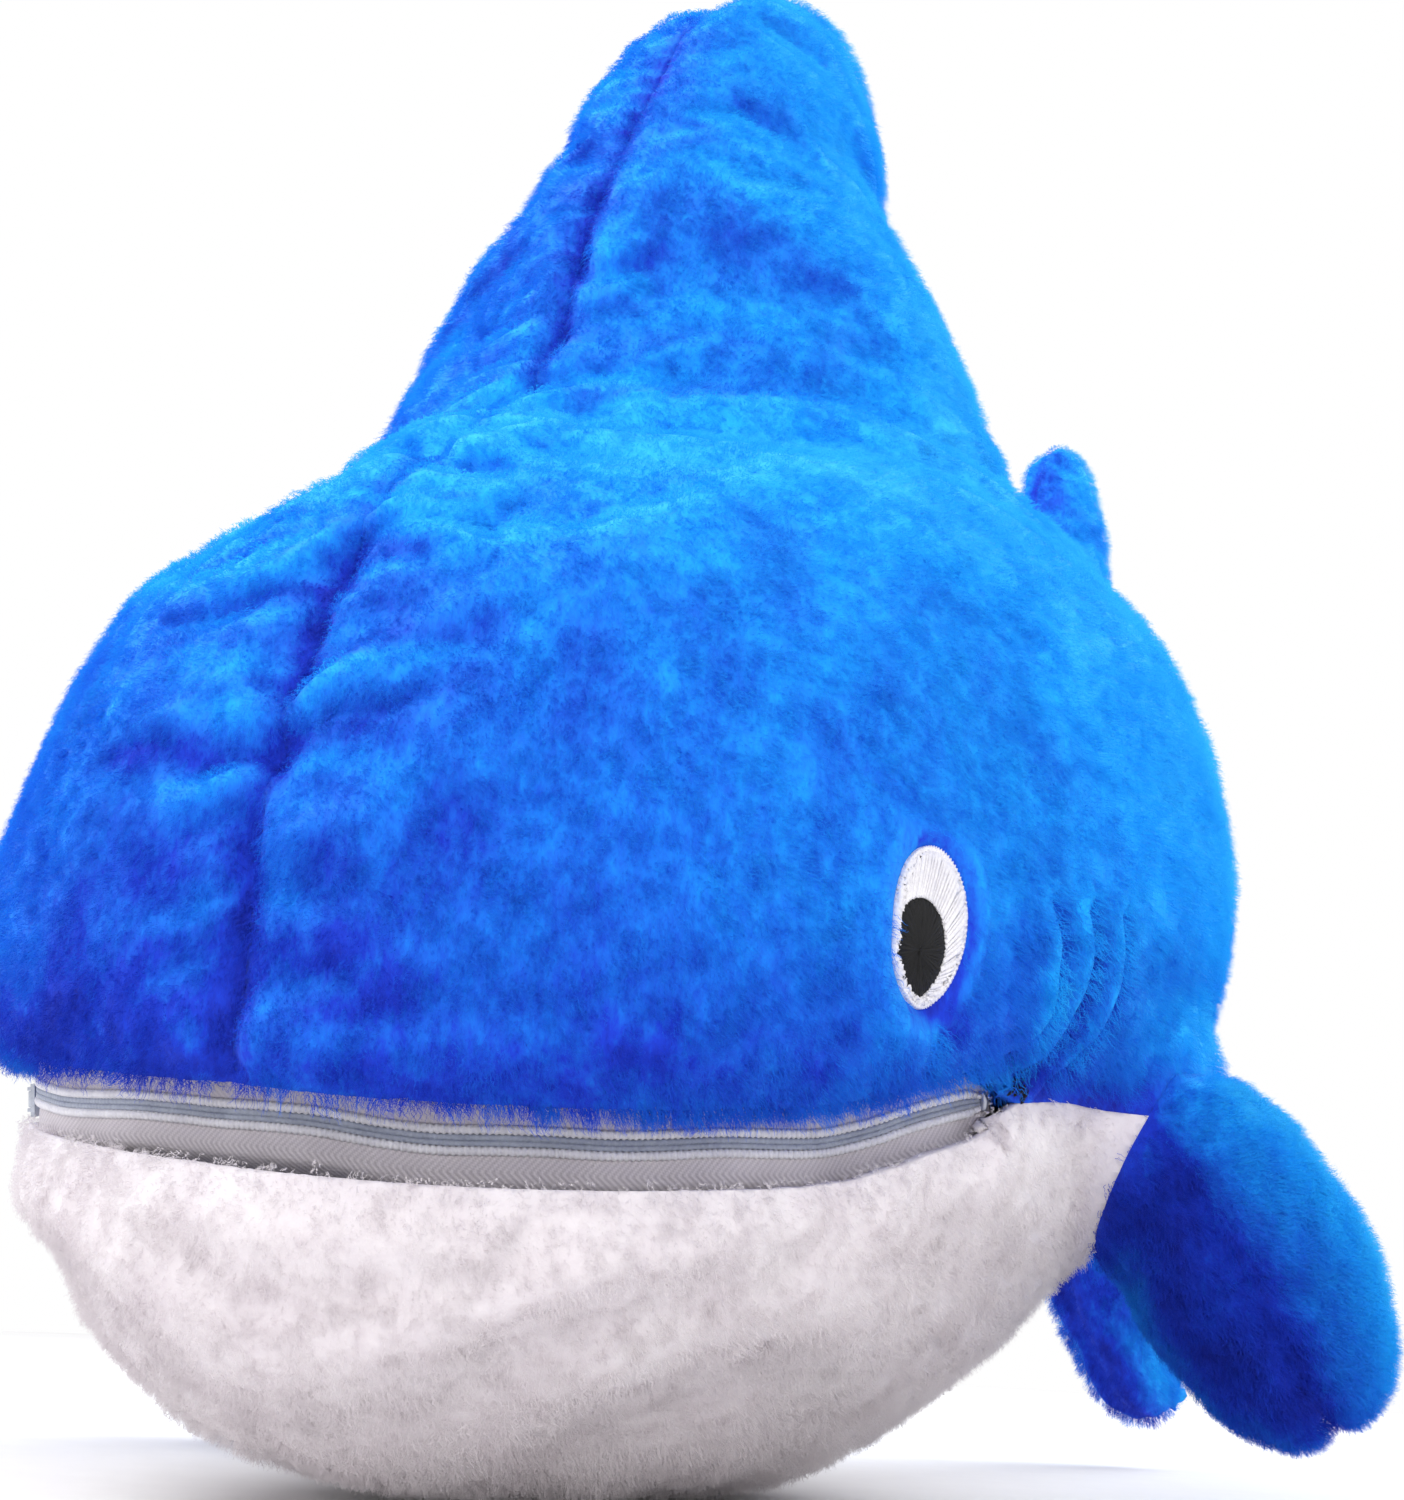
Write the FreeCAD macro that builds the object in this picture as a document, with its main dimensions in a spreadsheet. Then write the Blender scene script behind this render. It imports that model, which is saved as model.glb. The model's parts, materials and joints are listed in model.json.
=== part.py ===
import FreeCAD, Part
import math
import os

from FreeCAD import Placement, Rotation, Vector

# A stuffed plush shark with a zipped mouth pocket, lying on its belly.
# Frame: origin on the floor under the belly's resting patch, +Z up, nose towards -Y,
# the shark's left side towards +X.  Lengths are millimetres.

doc = FreeCAD.newDocument("plush_shark")
sheet = doc.addObject("Spreadsheet::Sheet", "dims")

DIMENSIONS = {
    "nose_front": 200,            # nose tip in front of the origin
    "cloth_thick": 4,             # pile fabric with its backing
    "belly_inset": 7,             # extra depth kept for the cloth where it is flattened
    "fin_cloth": 3,
    "mouth_height": 74.5,         # height of the mouth plane at the nose
    "mouth_slope": 0.2,           # rise of the mouth plane per unit of distance backwards
    "mouth_radius": 147,          # arc of the zip, in the mouth plane
    "mouth_centre": 52.5,         # arc centre in front of the origin
    "mouth_span": 148,            # arc of the zip in degrees
    "slot_half": 6.5,             # half height of the gap between the two lip edges
    "tape_thick": 1,
    "tape_inner": 0.8,            # half gap between the two rows of coil
    "coil_height": 2.6,
    "coil_depth": 2.5,
    "pocket_half": 14,            # half height of the mouth pocket
    "pocket_back": 30,            # pocket's rear wall in front of the arc centre
    "lining_thick": 1,
    "jaw_pivot": 89,              # jaw axis in front of the origin
    "jaw_lean": 14.5,             # forward lean of the jaw's rear face, degrees
    "slider_length": 12,
    "slider_width": 9,
    "slider_plate": 1.2,
    "slider_park": 71.5,          # degrees from the nose to the parked slider
    "pin_radius": 0.6,
    "pull_length": 22,
    "pull_width": 7,
    "pull_thick": 1.6,
    "tail_pivot": 225,            # tail joint behind the origin
    "tail_height": 187,
    "tail_ball": 62,
    "tail_gap": 0.7,
    "tail_yaw": 32,               # the tail lies swung to the shark's left
    "tail_roll": 6,
    "eye_width": 19,
    "eye_height": 33,
    "pupil_width": 13.5,
    "pupil_height": 20,
    "stitch_proud": 1.5,
    "stitch_seat": 0.25,          # air between the thread and the cloth
    "stitch_wide": 2,
    "fin_gap": 0.8,
}

for row, (alias, value) in enumerate(DIMENSIONS.items(), start=1):
    sheet.set("A%d" % row, alias)
    sheet.set("B%d" % row, str(value))
    sheet.setAlias("B%d" % row, alias)
doc.recompute()


def dim(alias):
    return float(sheet.get(alias))


# ---- the body's form ---------------------------------------------------------------------

# Stations along the body: distance behind the origin, half width, height of the widest line,
# top and bottom.  The nose is blunt, the belly flattens on the floor, the back end tapers.
BODY_STATIONS = [
    (-199.2, 16, 106, 124, 86),
    (-196.5, 36, 110, 150, 62),
    (-183.0, 74, 116, 198, 34),
    (-158.0, 110, 124, 242, 14),
    (-118.0, 141, 136, 275, 4),
    (-60.0, 160, 148, 297, -3),
    (5.0, 160, 160, 306, -3),
    (70.0, 142, 170, 300, 24),
    (140.0, 106, 178, 274, 64),
    (200.0, 68, 184, 242, 116),
    (250.0, 40, 188, 222, 152),
]
UPPER_POWER = 2.1
LOWER_POWER = 1.7

# Dorsal fin: height, front edge, rear edge, half thickness.  It is cut in one with the sides,
# so it swells into the back without a base seam.
DORSAL_STATIONS = [
    (235, -85, 112, 88),
    (275, -98, 120, 107),
    (310, -86, 124, 108),
    (345, -60, 122, 100),
    (385, -35, 118, 82),
    (425, -18, 116, 60),
    (455, -2, 108, 40),
    (473, 16, 92, 20),
    (478, 34, 74, 7),
]

# Tail fin in its own frame: height, front edge, rear edge, half thickness.
TAIL_STATIONS = [
    (-174, 84, 108, 5),
    (-164, 70, 118, 14),
    (-130, 52, 120, 22),
    (-85, 32, 106, 24),
    (-40, 8, 88, 30),
    (0, -20, 80, 40),
    (40, 8, 88, 30),
    (105, 36, 104, 26),
    (165, 50, 112, 24),
    (215, 60, 112, 20),
    (246, 70, 106, 13),
    (258, 80, 96, 5),
]
TAIL_STEM = (50, 46)              # half width and half height of the tail's root

# Side fin in its own frame: distance out from the root line, half chord, half thickness, sweep.
FIN_STATIONS = [
    (0, 38, 14, 0),
    (14, 44, 20, 6),
    (34, 48, 28, 16),
    (58, 44, 29, 27),
    (78, 32, 21, 36),
    (88, 14, 8, 41),
]
FIN_ROOT = Vector(150, 0, 106)
FIN_NORMAL = Vector(0.883, 0.12, 0.469)
FIN_CLEARED_TURNS = (26, 18, 9, -4)   # degrees; the body turned the other way round the root line

WIRE_POINTS = 24
BIG = 900


def closed_curve(points):
    curve = Part.BSplineCurve()
    curve.interpolate(Points=points, PeriodicFlag=True)
    return Part.Wire([curve.toShape()])


def signed_power(value, power):
    return math.copysign(abs(value) ** power, value)


def body_section(station, inset, bottom_inset):
    """Closed curve across the body, drawn inside the station's outline by inset."""
    y, half, middle, top, bottom = station
    half -= inset
    top -= inset
    bottom += bottom_inset
    y += inset * max(0.0, (-y - 100) / 100)
    points = []
    for step in range(WIRE_POINTS):
        angle = 2 * math.pi * step / WIRE_POINTS
        power = 2 / (UPPER_POWER if math.sin(angle) > 0 else LOWER_POWER)
        rise = top - middle if math.sin(angle) > 0 else middle - bottom
        points.append(Vector(half * signed_power(math.cos(angle), power), y,
                             middle + rise * signed_power(math.sin(angle), power)))
    return closed_curve(points)


def body_form(inset, bottom_inset):
    wires = [body_section(station, inset, bottom_inset) for station in BODY_STATIONS]
    return Part.makeLoft(wires, True, False)


def blade_section(height, front, rear, half, inset):
    """Teardrop across an upright fin, thickest a third of the way back."""
    front += inset
    rear -= inset
    half = max(half - inset, 1.5)
    chord = rear - front
    side = [(0.08, 0.62), (0.22, 0.93), (0.38, 1.0), (0.62, 0.8), (0.84, 0.42)]
    points = [Vector(0, front, height)]
    points += [Vector(half * w, front + chord * s, height) for s, w in side]
    points += [Vector(0, rear, height)]
    points += [Vector(-half * w, front + chord * s, height) for s, w in reversed(side)]
    return closed_curve(points)


def blade_form(stations, inset):
    """Upright fin lofted through its horizontal sections, its tips drawn in by inset."""
    low = stations[0][0]
    high = stations[-1][0]
    middle = (low + high) / 2
    shrink = 1 - inset / (high - middle)
    wires = [blade_section(middle + (height - middle) * shrink, front, rear, half, inset)
             for height, front, rear, half in stations]
    return Part.makeLoft(wires, True, False)


def side_fin_form(inset):
    """Puffed paddle out along +X from a rounded root, chord along Y, thickness along Z."""
    wires = []
    length = FIN_STATIONS[-1][0]
    root_chord, root_thick = FIN_STATIONS[0][1:3]
    root = Part.makeCylinder(root_thick - inset, 2 * (root_chord - inset) - 4,
                             Vector(0, 2 - root_chord + inset, 0), Vector(0, 1, 0))
    for distance, chord, thick, sweep in FIN_STATIONS:
        points = []
        for step in range(WIRE_POINTS):
            angle = 2 * math.pi * step / WIRE_POINTS
            points.append(Vector(distance * (1 - inset / length),
                                 sweep + max(chord - inset, 2) * math.cos(angle),
                                 max(thick - inset, 1.5) * math.sin(angle)))
        wires.append(closed_curve(points))
    return Part.makeLoft(wires, True, False).fuse(root)


def block(x0, x1, y0, y1, z0, z1):
    return Part.makeBox(x1 - x0, y1 - y0, z1 - z0, Vector(x0, y0, z0))


# ---- the mouth's own frame ---------------------------------------------------------------

TILT = math.degrees(math.atan(dim("mouth_slope")))
MOUTH_RISE = dim("mouth_slope") * (dim("nose_front") - dim("mouth_centre"))
MOUTH_ORIGIN = Vector(0, -dim("mouth_centre"), dim("mouth_height") + MOUTH_RISE)
MOUTH = Placement(MOUTH_ORIGIN, Rotation(Vector(1, 0, 0), TILT))

PIVOT_Y = -dim("jaw_pivot")
PIVOT_Z = dim("mouth_height") + dim("mouth_slope") * (dim("nose_front") + PIVOT_Y)
TAIL_PIVOT = Vector(0, dim("tail_pivot"), dim("tail_height"))
TAIL = Placement(TAIL_PIVOT, Rotation(Vector(0, 0, 1), -dim("tail_yaw")))
TAIL = TAIL.multiply(Placement(Vector(), Rotation(Vector(0, 1, 0), -dim("tail_roll"))))


def in_mouth(shape):
    """Copy of a shape drawn in the mouth's frame, moved to its place."""
    moved = shape.copy()
    moved.Placement = MOUTH.multiply(moved.Placement)
    return moved


def above_mouth(height):
    return in_mouth(block(-BIG, BIG, -BIG, BIG, height, BIG))


def below_mouth(height):
    return in_mouth(block(-BIG, BIG, -BIG, BIG, -BIG, height))


def ahead_of_jaw_face(lean):
    """Everything in front of a plane through the jaw's axis, leaning forwards going down."""
    region = block(-BIG, BIG, -BIG, 0, -BIG, BIG)
    region.rotate(Vector(), Vector(1, 0, 0), -lean)
    region.translate(Vector(0, PIVOT_Y, PIVOT_Z))
    return region


# ---- shared forms ------------------------------------------------------------------------

CLOTH = dim("cloth_thick")
FLOOR_CUT = block(-BIG, BIG, -BIG, BIG, -BIG, 0)
TAIL_SOCKET = Part.makeSphere(dim("tail_ball") + dim("tail_gap"), TAIL_PIVOT)

outer_body = body_form(0, 0).cut(FLOOR_CUT)
inner_body = body_form(CLOTH, dim("belly_inset"))
outer = outer_body.fuse(blade_form(DORSAL_STATIONS, 0)).cut(TAIL_SOCKET)
inner = inner_body.fuse(blade_form(DORSAL_STATIONS, CLOTH)).cut(TAIL_SOCKET)

LEFT_HALF = block(0, BIG, -BIG, BIG, -BIG, BIG)
RIGHT_HALF = block(-BIG, 0, -BIG, BIG, -BIG, BIG)
BEHIND_CORNERS = block(-BIG, BIG, PIVOT_Y, BIG, -BIG, BIG)
AHEAD_OF_CORNERS = block(-BIG, BIG, -BIG, PIVOT_Y, -BIG, BIG)
SLOT = dim("slot_half")
POCKET = dim("pocket_half")
LINING = dim("lining_thick")


# ---- document objects --------------------------------------------------------------------

nodes = []


def keep(feature, label):
    feature.Label = label
    nodes.append(feature)
    return feature


def soft_piece(label, shape, placement=None):
    """Sub-part whose shape comes from the lofts above."""
    feature = doc.addObject("Part::Feature", label)
    feature.Shape = shape
    if placement is not None:
        feature.Placement = placement
    return keep(feature, label)


# ---- torso: sides, belly, stuffing -------------------------------------------------------

def make_torso():
    skin = outer.cut(inner)
    sides = skin.common(above_mouth(SLOT).common(AHEAD_OF_CORNERS))
    sides = sides.fuse(skin.common(above_mouth(0).common(BEHIND_CORNERS)))
    soft_piece("side_panel_left", sides.common(LEFT_HALF))
    soft_piece("side_panel_right", sides.common(RIGHT_HALF))
    belly = outer.cut(inner).common(below_mouth(0)).common(BEHIND_CORNERS)
    soft_piece("belly_panel", belly)
    dorsal_floor = block(-BIG, BIG, -BIG, BIG, BODY_STATIONS[6][3] - CLOTH, BIG)
    pocket_rear = in_mouth(block(-BIG, BIG, -BIG, -dim("pocket_back"), -POCKET, POCKET))
    filling = inner.cut(ahead_of_jaw_face(0).common(below_mouth(POCKET))).cut(pocket_rear)
    head_space = above_mouth(POCKET).common(AHEAD_OF_CORNERS)
    soft_piece("dorsal_stuffing", filling.common(dorsal_floor))
    filling = filling.cut(dorsal_floor)
    soft_piece("head_stuffing", filling.common(head_space))
    soft_piece("body_stuffing", filling.cut(head_space))


def pocket_plate(low, high, rear):
    """Flat half disc of lining, from the zip back to the rear line."""
    disc = Part.makeCylinder(dim("mouth_radius") - 4, high - low, Vector(0, 0, low))
    return in_mouth(disc.common(block(-BIG, BIG, -BIG, -rear, -BIG, BIG)))


def make_pocket():
    roof = pocket_plate(POCKET - LINING, POCKET, dim("pocket_back"))
    back = in_mouth(block(-120, 120, -dim("pocket_back") - LINING, -dim("pocket_back"),
                          -POCKET, POCKET))
    soft_piece("pocket_lining_upper", roof.fuse(back).common(inner))
    floor = pocket_plate(-POCKET, LINING - POCKET, dim("pocket_back"))
    floor = floor.common(ahead_of_jaw_face(dim("jaw_lean"))).common(inner)
    soft_piece("pocket_lining_lower", floor)


def make_jaw():
    region = below_mouth(-SLOT).common(ahead_of_jaw_face(dim("jaw_lean")))
    soft_piece("chin_panel", outer.cut(inner).common(region))
    filling = below_mouth(-POCKET).common(ahead_of_jaw_face(dim("jaw_lean")))
    soft_piece("jaw_stuffing", inner.common(filling))


# ---- zip ---------------------------------------------------------------------------------

def arc_band(label, inner_radius, outer_radius, low, high):
    """Curved strip round the mouth, as the cut of two part-turn cylinders."""
    solids = []
    for name, radius, extra in (("outside", outer_radius, "0"), ("inside", inner_radius, "1")):
        solid = doc.addObject("Part::Cylinder", label + "_" + name)
        solid.setExpression("Radius", radius)
        solid.setExpression("Height", "(%s) - (%s) + 2 * %s" % (high, low, extra))
        solid.setExpression("Angle", "dims.mouth_span + 4 * %s" % extra)
        turn = "-90 - dims.mouth_span / 2 - 2 * %s" % extra
        solid.setExpression("Placement.Rotation.Angle", turn)
        solid.setExpression("Placement.Base.z", "(%s) - %s" % (low, extra))
        solids.append(solid)
    band = doc.addObject("Part::Cut", label)
    band.Base, band.Tool = solids
    band.Placement = MOUTH
    return keep(band, label)


def make_zip_rows():
    radius = "dims.mouth_radius"
    edge = "dims.tape_inner + dims.coil_height"
    inside = radius + " - 1.5"
    for side, sign in (("upper", 1), ("lower", -1)):
        tape = ("dims.tape_inner", "dims.slot_half")
        coil = ("dims.tape_inner", edge)
        if sign < 0:
            tape = ("-dims.slot_half", "-dims.tape_inner")
            coil = ("-(%s)" % edge, "-dims.tape_inner")
        arc_band("zip_tape_" + side, inside, inside + " + dims.tape_thick", *tape)
        coil_face = inside + " + dims.tape_thick"
        arc_band("zip_coil_" + side, coil_face, coil_face + " + dims.coil_depth", *coil)


def box(name, size, place, holder=None):
    """Parametric block: size and corner are expressions."""
    solid = doc.addObject("Part::Box", name)
    for prop, text in zip(("Length", "Width", "Height"), size):
        solid.setExpression(prop, text)
    for axis, text in zip("xyz", place):
        solid.setExpression("Placement.Base." + axis, text)
    if holder is not None:
        holder.append(solid)
    return solid


def make_zip_stops():
    """Moulded end stops, one at each corner, on the upper tape."""
    stops = []
    for side in (-1, 1):
        name = "stop_right" if side < 0 else "stop_left"
        stop = box(name, ("1.8", "3", "2.2"), ("dims.mouth_radius + 0.2", "-1.5", "1"))
        stop.Placement.Rotation = Rotation()
        angle = -90 + side * (dim("mouth_span") / 2 + 0.7)
        turned = Placement(Vector(), Rotation(Vector(0, 0, 1), angle))
        holder = doc.addObject("Part::Compound", name + "_turned")
        holder.Links = [stop]
        holder.Placement = turned
        stops.append(holder)
    group = doc.addObject("Part::Compound", "zip_end_stops")
    group.Links = stops
    group.Placement = MOUTH
    keep(group, "zip_end_stops")


def make_slider():
    """Two plates joined by the thin wedge between the coils, with a pinned crown on top."""
    length = "dims.slider_length"
    width = "dims.slider_width"
    plate = "dims.slider_plate"
    top = "dims.mouth_radius + 2.3"
    parts = []
    box("slider_top", (plate, length, width), (top, "-%s / 2" % length, "-%s / 2" % width), parts)
    box("slider_bottom", (plate, length, width),
        ("dims.mouth_radius - 3.3", "-%s / 2" % length, "-%s / 2" % width), parts)
    box("slider_wedge", ("6.2", "5", "1"),
        ("dims.mouth_radius - 2.6", "%s / 2 - 5" % length, "-0.5"), parts)
    for name, low in (("slider_lug_low", "-3.4"), ("slider_lug_high", "2.4")):
        box(name, ("3.4", "3", "1"), ("dims.mouth_radius + 3.2", "-1.5", low), parts)
    pin = doc.addObject("Part::Cylinder", "slider_pin")
    pin.setExpression("Radius", "dims.pin_radius")
    pin.setExpression("Height", "6.8")
    pin.setExpression("Placement.Base.x", "dims.mouth_radius + 5.4")
    pin.setExpression("Placement.Base.z", "-3.4")
    parts.append(pin)
    slider = doc.addObject("Part::MultiFuse", "zip_slider")
    slider.Shapes = parts
    turn = Placement(Vector(), Rotation(Vector(0, 0, 1), -90 - dim("slider_park")))
    slider.Placement = MOUTH.multiply(turn)
    keep(slider, "zip_slider")


def make_pull():
    """Flat tab with a round eye on the slider's pin, lying back along the zip."""
    body = doc.addObject("PartDesign::Body", "zip_pull")
    plane = next(o for o in body.Origin.OriginFeatures if o.Role == "XY_Plane")
    sketch = body.newObject("Sketcher::SketchObject", "pull_outline")
    sketch.AttachmentSupport = [(plane, "")]
    sketch.MapMode = "FlatFace"
    half = dim("pull_thick") / 2
    hole = dim("pin_radius") + 0.1
    ring = hole + 0.75
    reach = dim("pull_length")
    start = math.sqrt(ring ** 2 - half ** 2)
    angle = math.asin(half / ring)
    circle = Part.Circle(Vector(), Vector(0, 0, 1), ring)
    rim = Part.ArcOfCircle(circle, -math.pi / 2 + angle, math.pi * 1.5 - angle)
    low = Vector(-half, -reach, 0)
    high = Vector(half, -reach, 0)
    sketch.addGeometry(rim, False)
    sketch.addGeometry(Part.LineSegment(Vector(-half, -start, 0), low), False)
    sketch.addGeometry(Part.LineSegment(low, high), False)
    sketch.addGeometry(Part.LineSegment(high, Vector(half, -start, 0)), False)
    sketch.addGeometry(Part.Circle(Vector(), Vector(0, 0, 1), hole), False)
    pad = body.newObject("PartDesign::Pad", "pull_pad")
    pad.Profile = sketch
    pad.setExpression("Length", "4.4")
    pad.Midplane = True
    body.Tip = pad
    turn = Placement(Vector(), Rotation(Vector(0, 0, 1), -90 - dim("slider_park")))
    pin = Placement(Vector(dim("mouth_radius") + 5.4, 0, 0), Rotation())
    body.Placement = MOUTH.multiply(turn).multiply(pin)
    keep(body, "zip_pull")


# ---- embroidery on the head --------------------------------------------------------------

EYE_CENTRE = Vector(131, -133.5, 126)
EYE_YAW = -34                     # the cheek faces forwards by this much
EYE_DEPTH = 60
PUPIL_SHIFT = (-3.2, -5.5)        # forwards and down from the eye's centre


def oval_prism(width, height, shift):
    """Oval prism through the left cheek, along the cheek's normal."""
    ellipse = Part.Ellipse(Vector(), height / 2, width / 2)
    face = Part.Face(Part.Wire([ellipse.toShape()]))
    face.translate(Vector(-shift[1], shift[0], -EYE_DEPTH / 2))
    prism = face.extrude(Vector(0, 0, EYE_DEPTH))
    towards_side = Placement(Vector(), Rotation(Vector(0, 0, 1), Vector(1, 0, 0)))
    prism.Placement = Placement(EYE_CENTRE, Rotation(Vector(0, 0, 1), EYE_YAW)).multiply(towards_side)
    return prism


def gill_blades():
    """Three upright slices through the left side, behind the mouth corner."""
    wide = dim("stitch_wide")
    blades = []
    for index in range(3):
        top = Vector(0, -101.5 + 12.5 * index, 136)
        bottom = Vector(0, -93.5 + 11.0 * index, 104 + index)
        run = bottom - top
        blade = Part.makeBox(60, wide, run.Length, Vector(115, -wide / 2, -run.Length))
        blade.rotate(Vector(), Vector(1, 0, 0), math.degrees(math.atan2(run.y, -run.z)))
        blade.translate(top)
        blades.append(blade)
    return blades


def raised_skin():
    """Thin shell just outside the body, as deep as the thread stands proud."""
    proud = dim("stitch_proud")
    seat = dim("stitch_seat")
    return body_form(-proud, -proud).cut(body_form(-seat, -seat))


def make_embroidery(raised):
    white = oval_prism(dim("eye_width"), dim("eye_height"), (0, 0))
    black = oval_prism(dim("pupil_width"), dim("pupil_height"), PUPIL_SHIFT)
    gills = Part.makeCompound([raised.common(blade) for blade in gill_blades()])
    left = {
        "eye_white": raised.common(white).cut(black),
        "eye_pupil": raised.common(black).common(white),
        "gill_stitches": gills,
    }
    for name, shape in left.items():
        soft_piece(name + "_left", shape)
        soft_piece(name + "_right", shape.mirror(Vector(), Vector(1, 0, 0)))


def make_corner_tacks(raised):
    """Bar tacks of thread that close the seam at each end of the zip."""
    height = PIVOT_Z + 1.6
    tack = raised.common(block(115, 175, PIVOT_Y + 5.5, PIVOT_Y + 10.5, height - 5, height + 3))
    soft_piece("mouth_tack_left", tack)
    soft_piece("mouth_tack_right", tack.mirror(Vector(), Vector(1, 0, 0)))


# ---- tail --------------------------------------------------------------------------------

def tail_form(inset):
    stem = Part.Face(Part.Wire([Part.Ellipse(Vector(), TAIL_STEM[0] - inset,
                                             TAIL_STEM[1] - inset).toShape()]))
    stem = stem.extrude(Vector(0, 0, -90))
    stem.rotate(Vector(), Vector(1, 0, 0), 90)
    stem.translate(Vector(0, -72, 0))
    ball = Part.makeSphere(dim("tail_ball") - inset)
    return blade_form(TAIL_STATIONS, inset).fuse(ball.common(stem))


def make_tail():
    cloth = dim("fin_cloth")
    whole = tail_form(0)
    core = tail_form(cloth)
    skin = whole.cut(core)
    soft_piece("tail_panel_left", skin.common(LEFT_HALF), TAIL)
    soft_piece("tail_panel_right", skin.common(RIGHT_HALF), TAIL)
    soft_piece("tail_stuffing", core, TAIL)


# ---- side fins ---------------------------------------------------------------------------

def fin_placement():
    """Root line along the body's side, blade square to it in the plane of FIN_NORMAL."""
    normal = Vector(FIN_NORMAL).normalize()
    root_line = Vector(0, 1, 0) - normal * normal.y
    root_line.normalize()
    return Placement(FIN_ROOT, Rotation(root_line.cross(normal), root_line, normal, "XYZ"))


def make_side_fins():
    cloth = dim("fin_cloth")
    whole = side_fin_form(0)
    core = side_fin_form(cloth)
    top_half = block(-BIG, BIG, -BIG, BIG, 0, BIG)
    low_half = block(-BIG, BIG, -BIG, BIG, -BIG, 0)
    skin = whole.cut(core)
    pieces = {
        "fin_panel_upper": skin.common(top_half),
        "fin_panel_lower": skin.common(low_half),
        "fin_stuffing": core,
    }
    gap = body_form(-dim("fin_gap"), -dim("fin_gap"))
    root_line = fin_placement().Rotation.multVec(Vector(0, 1, 0))
    swept = []
    for turn in FIN_CLEARED_TURNS:
        body = gap.copy()
        body.rotate(FIN_ROOT, root_line, turn)
        swept.append(body)
    for name, shape in pieces.items():
        placed = shape.copy()
        placed.Placement = fin_placement()
        placed = placed.cut([gap] + swept)
        soft_piece(name + "_left", placed)
        soft_piece(name + "_right", placed.mirror(Vector(), Vector(1, 0, 0)))


make_torso()
make_jaw()
make_pocket()
make_zip_rows()
make_zip_stops()
make_slider()
make_pull()
thread_layer = raised_skin()
make_embroidery(thread_layer)
make_corner_tacks(thread_layer)
make_tail()
make_side_fins()

doc.recompute()
for item in doc.Objects:
    if "Invalid" in item.State or "Error" in item.State:
        raise RuntimeError("failed object: " + item.Label)

os.makedirs("parts", exist_ok=True)
for node in nodes:
    shape = node.Shape
    if shape.isNull() or not shape.isValid() or not shape.Solids:
        raise RuntimeError("bad shape: " + node.Label)
    print("%-24s %9.0f mm3  %d solids" % (node.Label, shape.Volume, len(shape.Solids)))
    shape.exportStep(os.path.join("parts", node.Label + ".step"))
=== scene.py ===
import json
import math

import bmesh
import bpy
import numpy as np
from mathutils import Matrix, Vector, noise
from mathutils.bvhtree import BVHTree


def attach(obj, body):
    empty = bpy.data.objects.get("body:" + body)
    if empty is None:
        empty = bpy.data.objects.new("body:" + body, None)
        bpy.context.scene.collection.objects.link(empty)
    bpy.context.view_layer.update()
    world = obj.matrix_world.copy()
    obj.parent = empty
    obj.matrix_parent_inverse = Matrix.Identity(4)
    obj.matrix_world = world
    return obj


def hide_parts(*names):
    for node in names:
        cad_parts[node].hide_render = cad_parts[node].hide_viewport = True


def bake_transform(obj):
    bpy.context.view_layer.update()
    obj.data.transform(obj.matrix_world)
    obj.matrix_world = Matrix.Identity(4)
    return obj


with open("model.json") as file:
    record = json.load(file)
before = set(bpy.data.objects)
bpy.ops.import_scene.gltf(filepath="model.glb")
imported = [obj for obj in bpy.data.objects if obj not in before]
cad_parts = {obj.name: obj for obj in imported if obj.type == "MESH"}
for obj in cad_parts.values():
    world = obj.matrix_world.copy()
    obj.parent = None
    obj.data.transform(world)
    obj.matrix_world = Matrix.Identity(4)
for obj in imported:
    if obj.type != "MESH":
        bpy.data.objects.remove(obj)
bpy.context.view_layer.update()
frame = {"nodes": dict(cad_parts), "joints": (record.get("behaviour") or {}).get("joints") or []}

MM = 0.001

# ---- outline of the plush, in millimetres ----

# y, half width, height of the widest line, top, bottom
BODY_ROWS = [
    (-199.2, 16, 106, 124, 86),
    (-196.5, 36, 110, 150, 62),
    (-183, 74, 116, 198, 34),
    (-158, 110, 124, 242, 14),
    (-118, 141, 136, 275, 4),
    (-60, 160, 148, 297, -3),
    (5, 160, 160, 306, -3),
    (70, 142, 170, 300, 24),
    (140, 106, 178, 274, 64),
    (200, 68, 184, 242, 116),
    (250, 40, 188, 222, 152),
]
# z, front y, rear y, half thickness
DORSAL_ROWS = [
    (235, -85, 112, 88),
    (275, -100, 120, 102),
    (310, -98, 124, 98),
    (345, -86, 120, 80),
    (385, -67, 114, 57),
    (425, -46, 110, 47),
    (458, -26, 106, 39),
    (478, -2, 100, 28),
    (487, 26, 86, 11),
]
TAIL_ROWS = [
    (-174, 84, 108, 5),
    (-164, 70, 118, 14),
    (-130, 52, 120, 22),
    (-85, 32, 106, 24),
    (-40, 8, 88, 30),
    (0, -20, 80, 40),
    (40, 8, 88, 30),
    (105, 36, 104, 26),
    (165, 50, 112, 24),
    (215, 60, 112, 20),
    (246, 70, 106, 13),
    (258, 80, 96, 5),
]
# distance out, half chord, half thickness, sweep
FIN_ROWS = [
    (-22, 30, 16, -8),
    (0, 38, 22, 0),
    (14, 44, 27, 6),
    (34, 48, 30, 16),
    (58, 44, 29, 27),
    (78, 32, 21, 36),
    (88, 14, 8, 41),
]
# y, height of the seam between the blue sides and the white underside
SEAM_ROWS = [
    (-210, 72.5),
    (-89, 96.7),
    (-55, 98),
    (0, 97),
    (60, 98),
    (130, 110),
    (200, 140),
    (260, 166),
]

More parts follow.
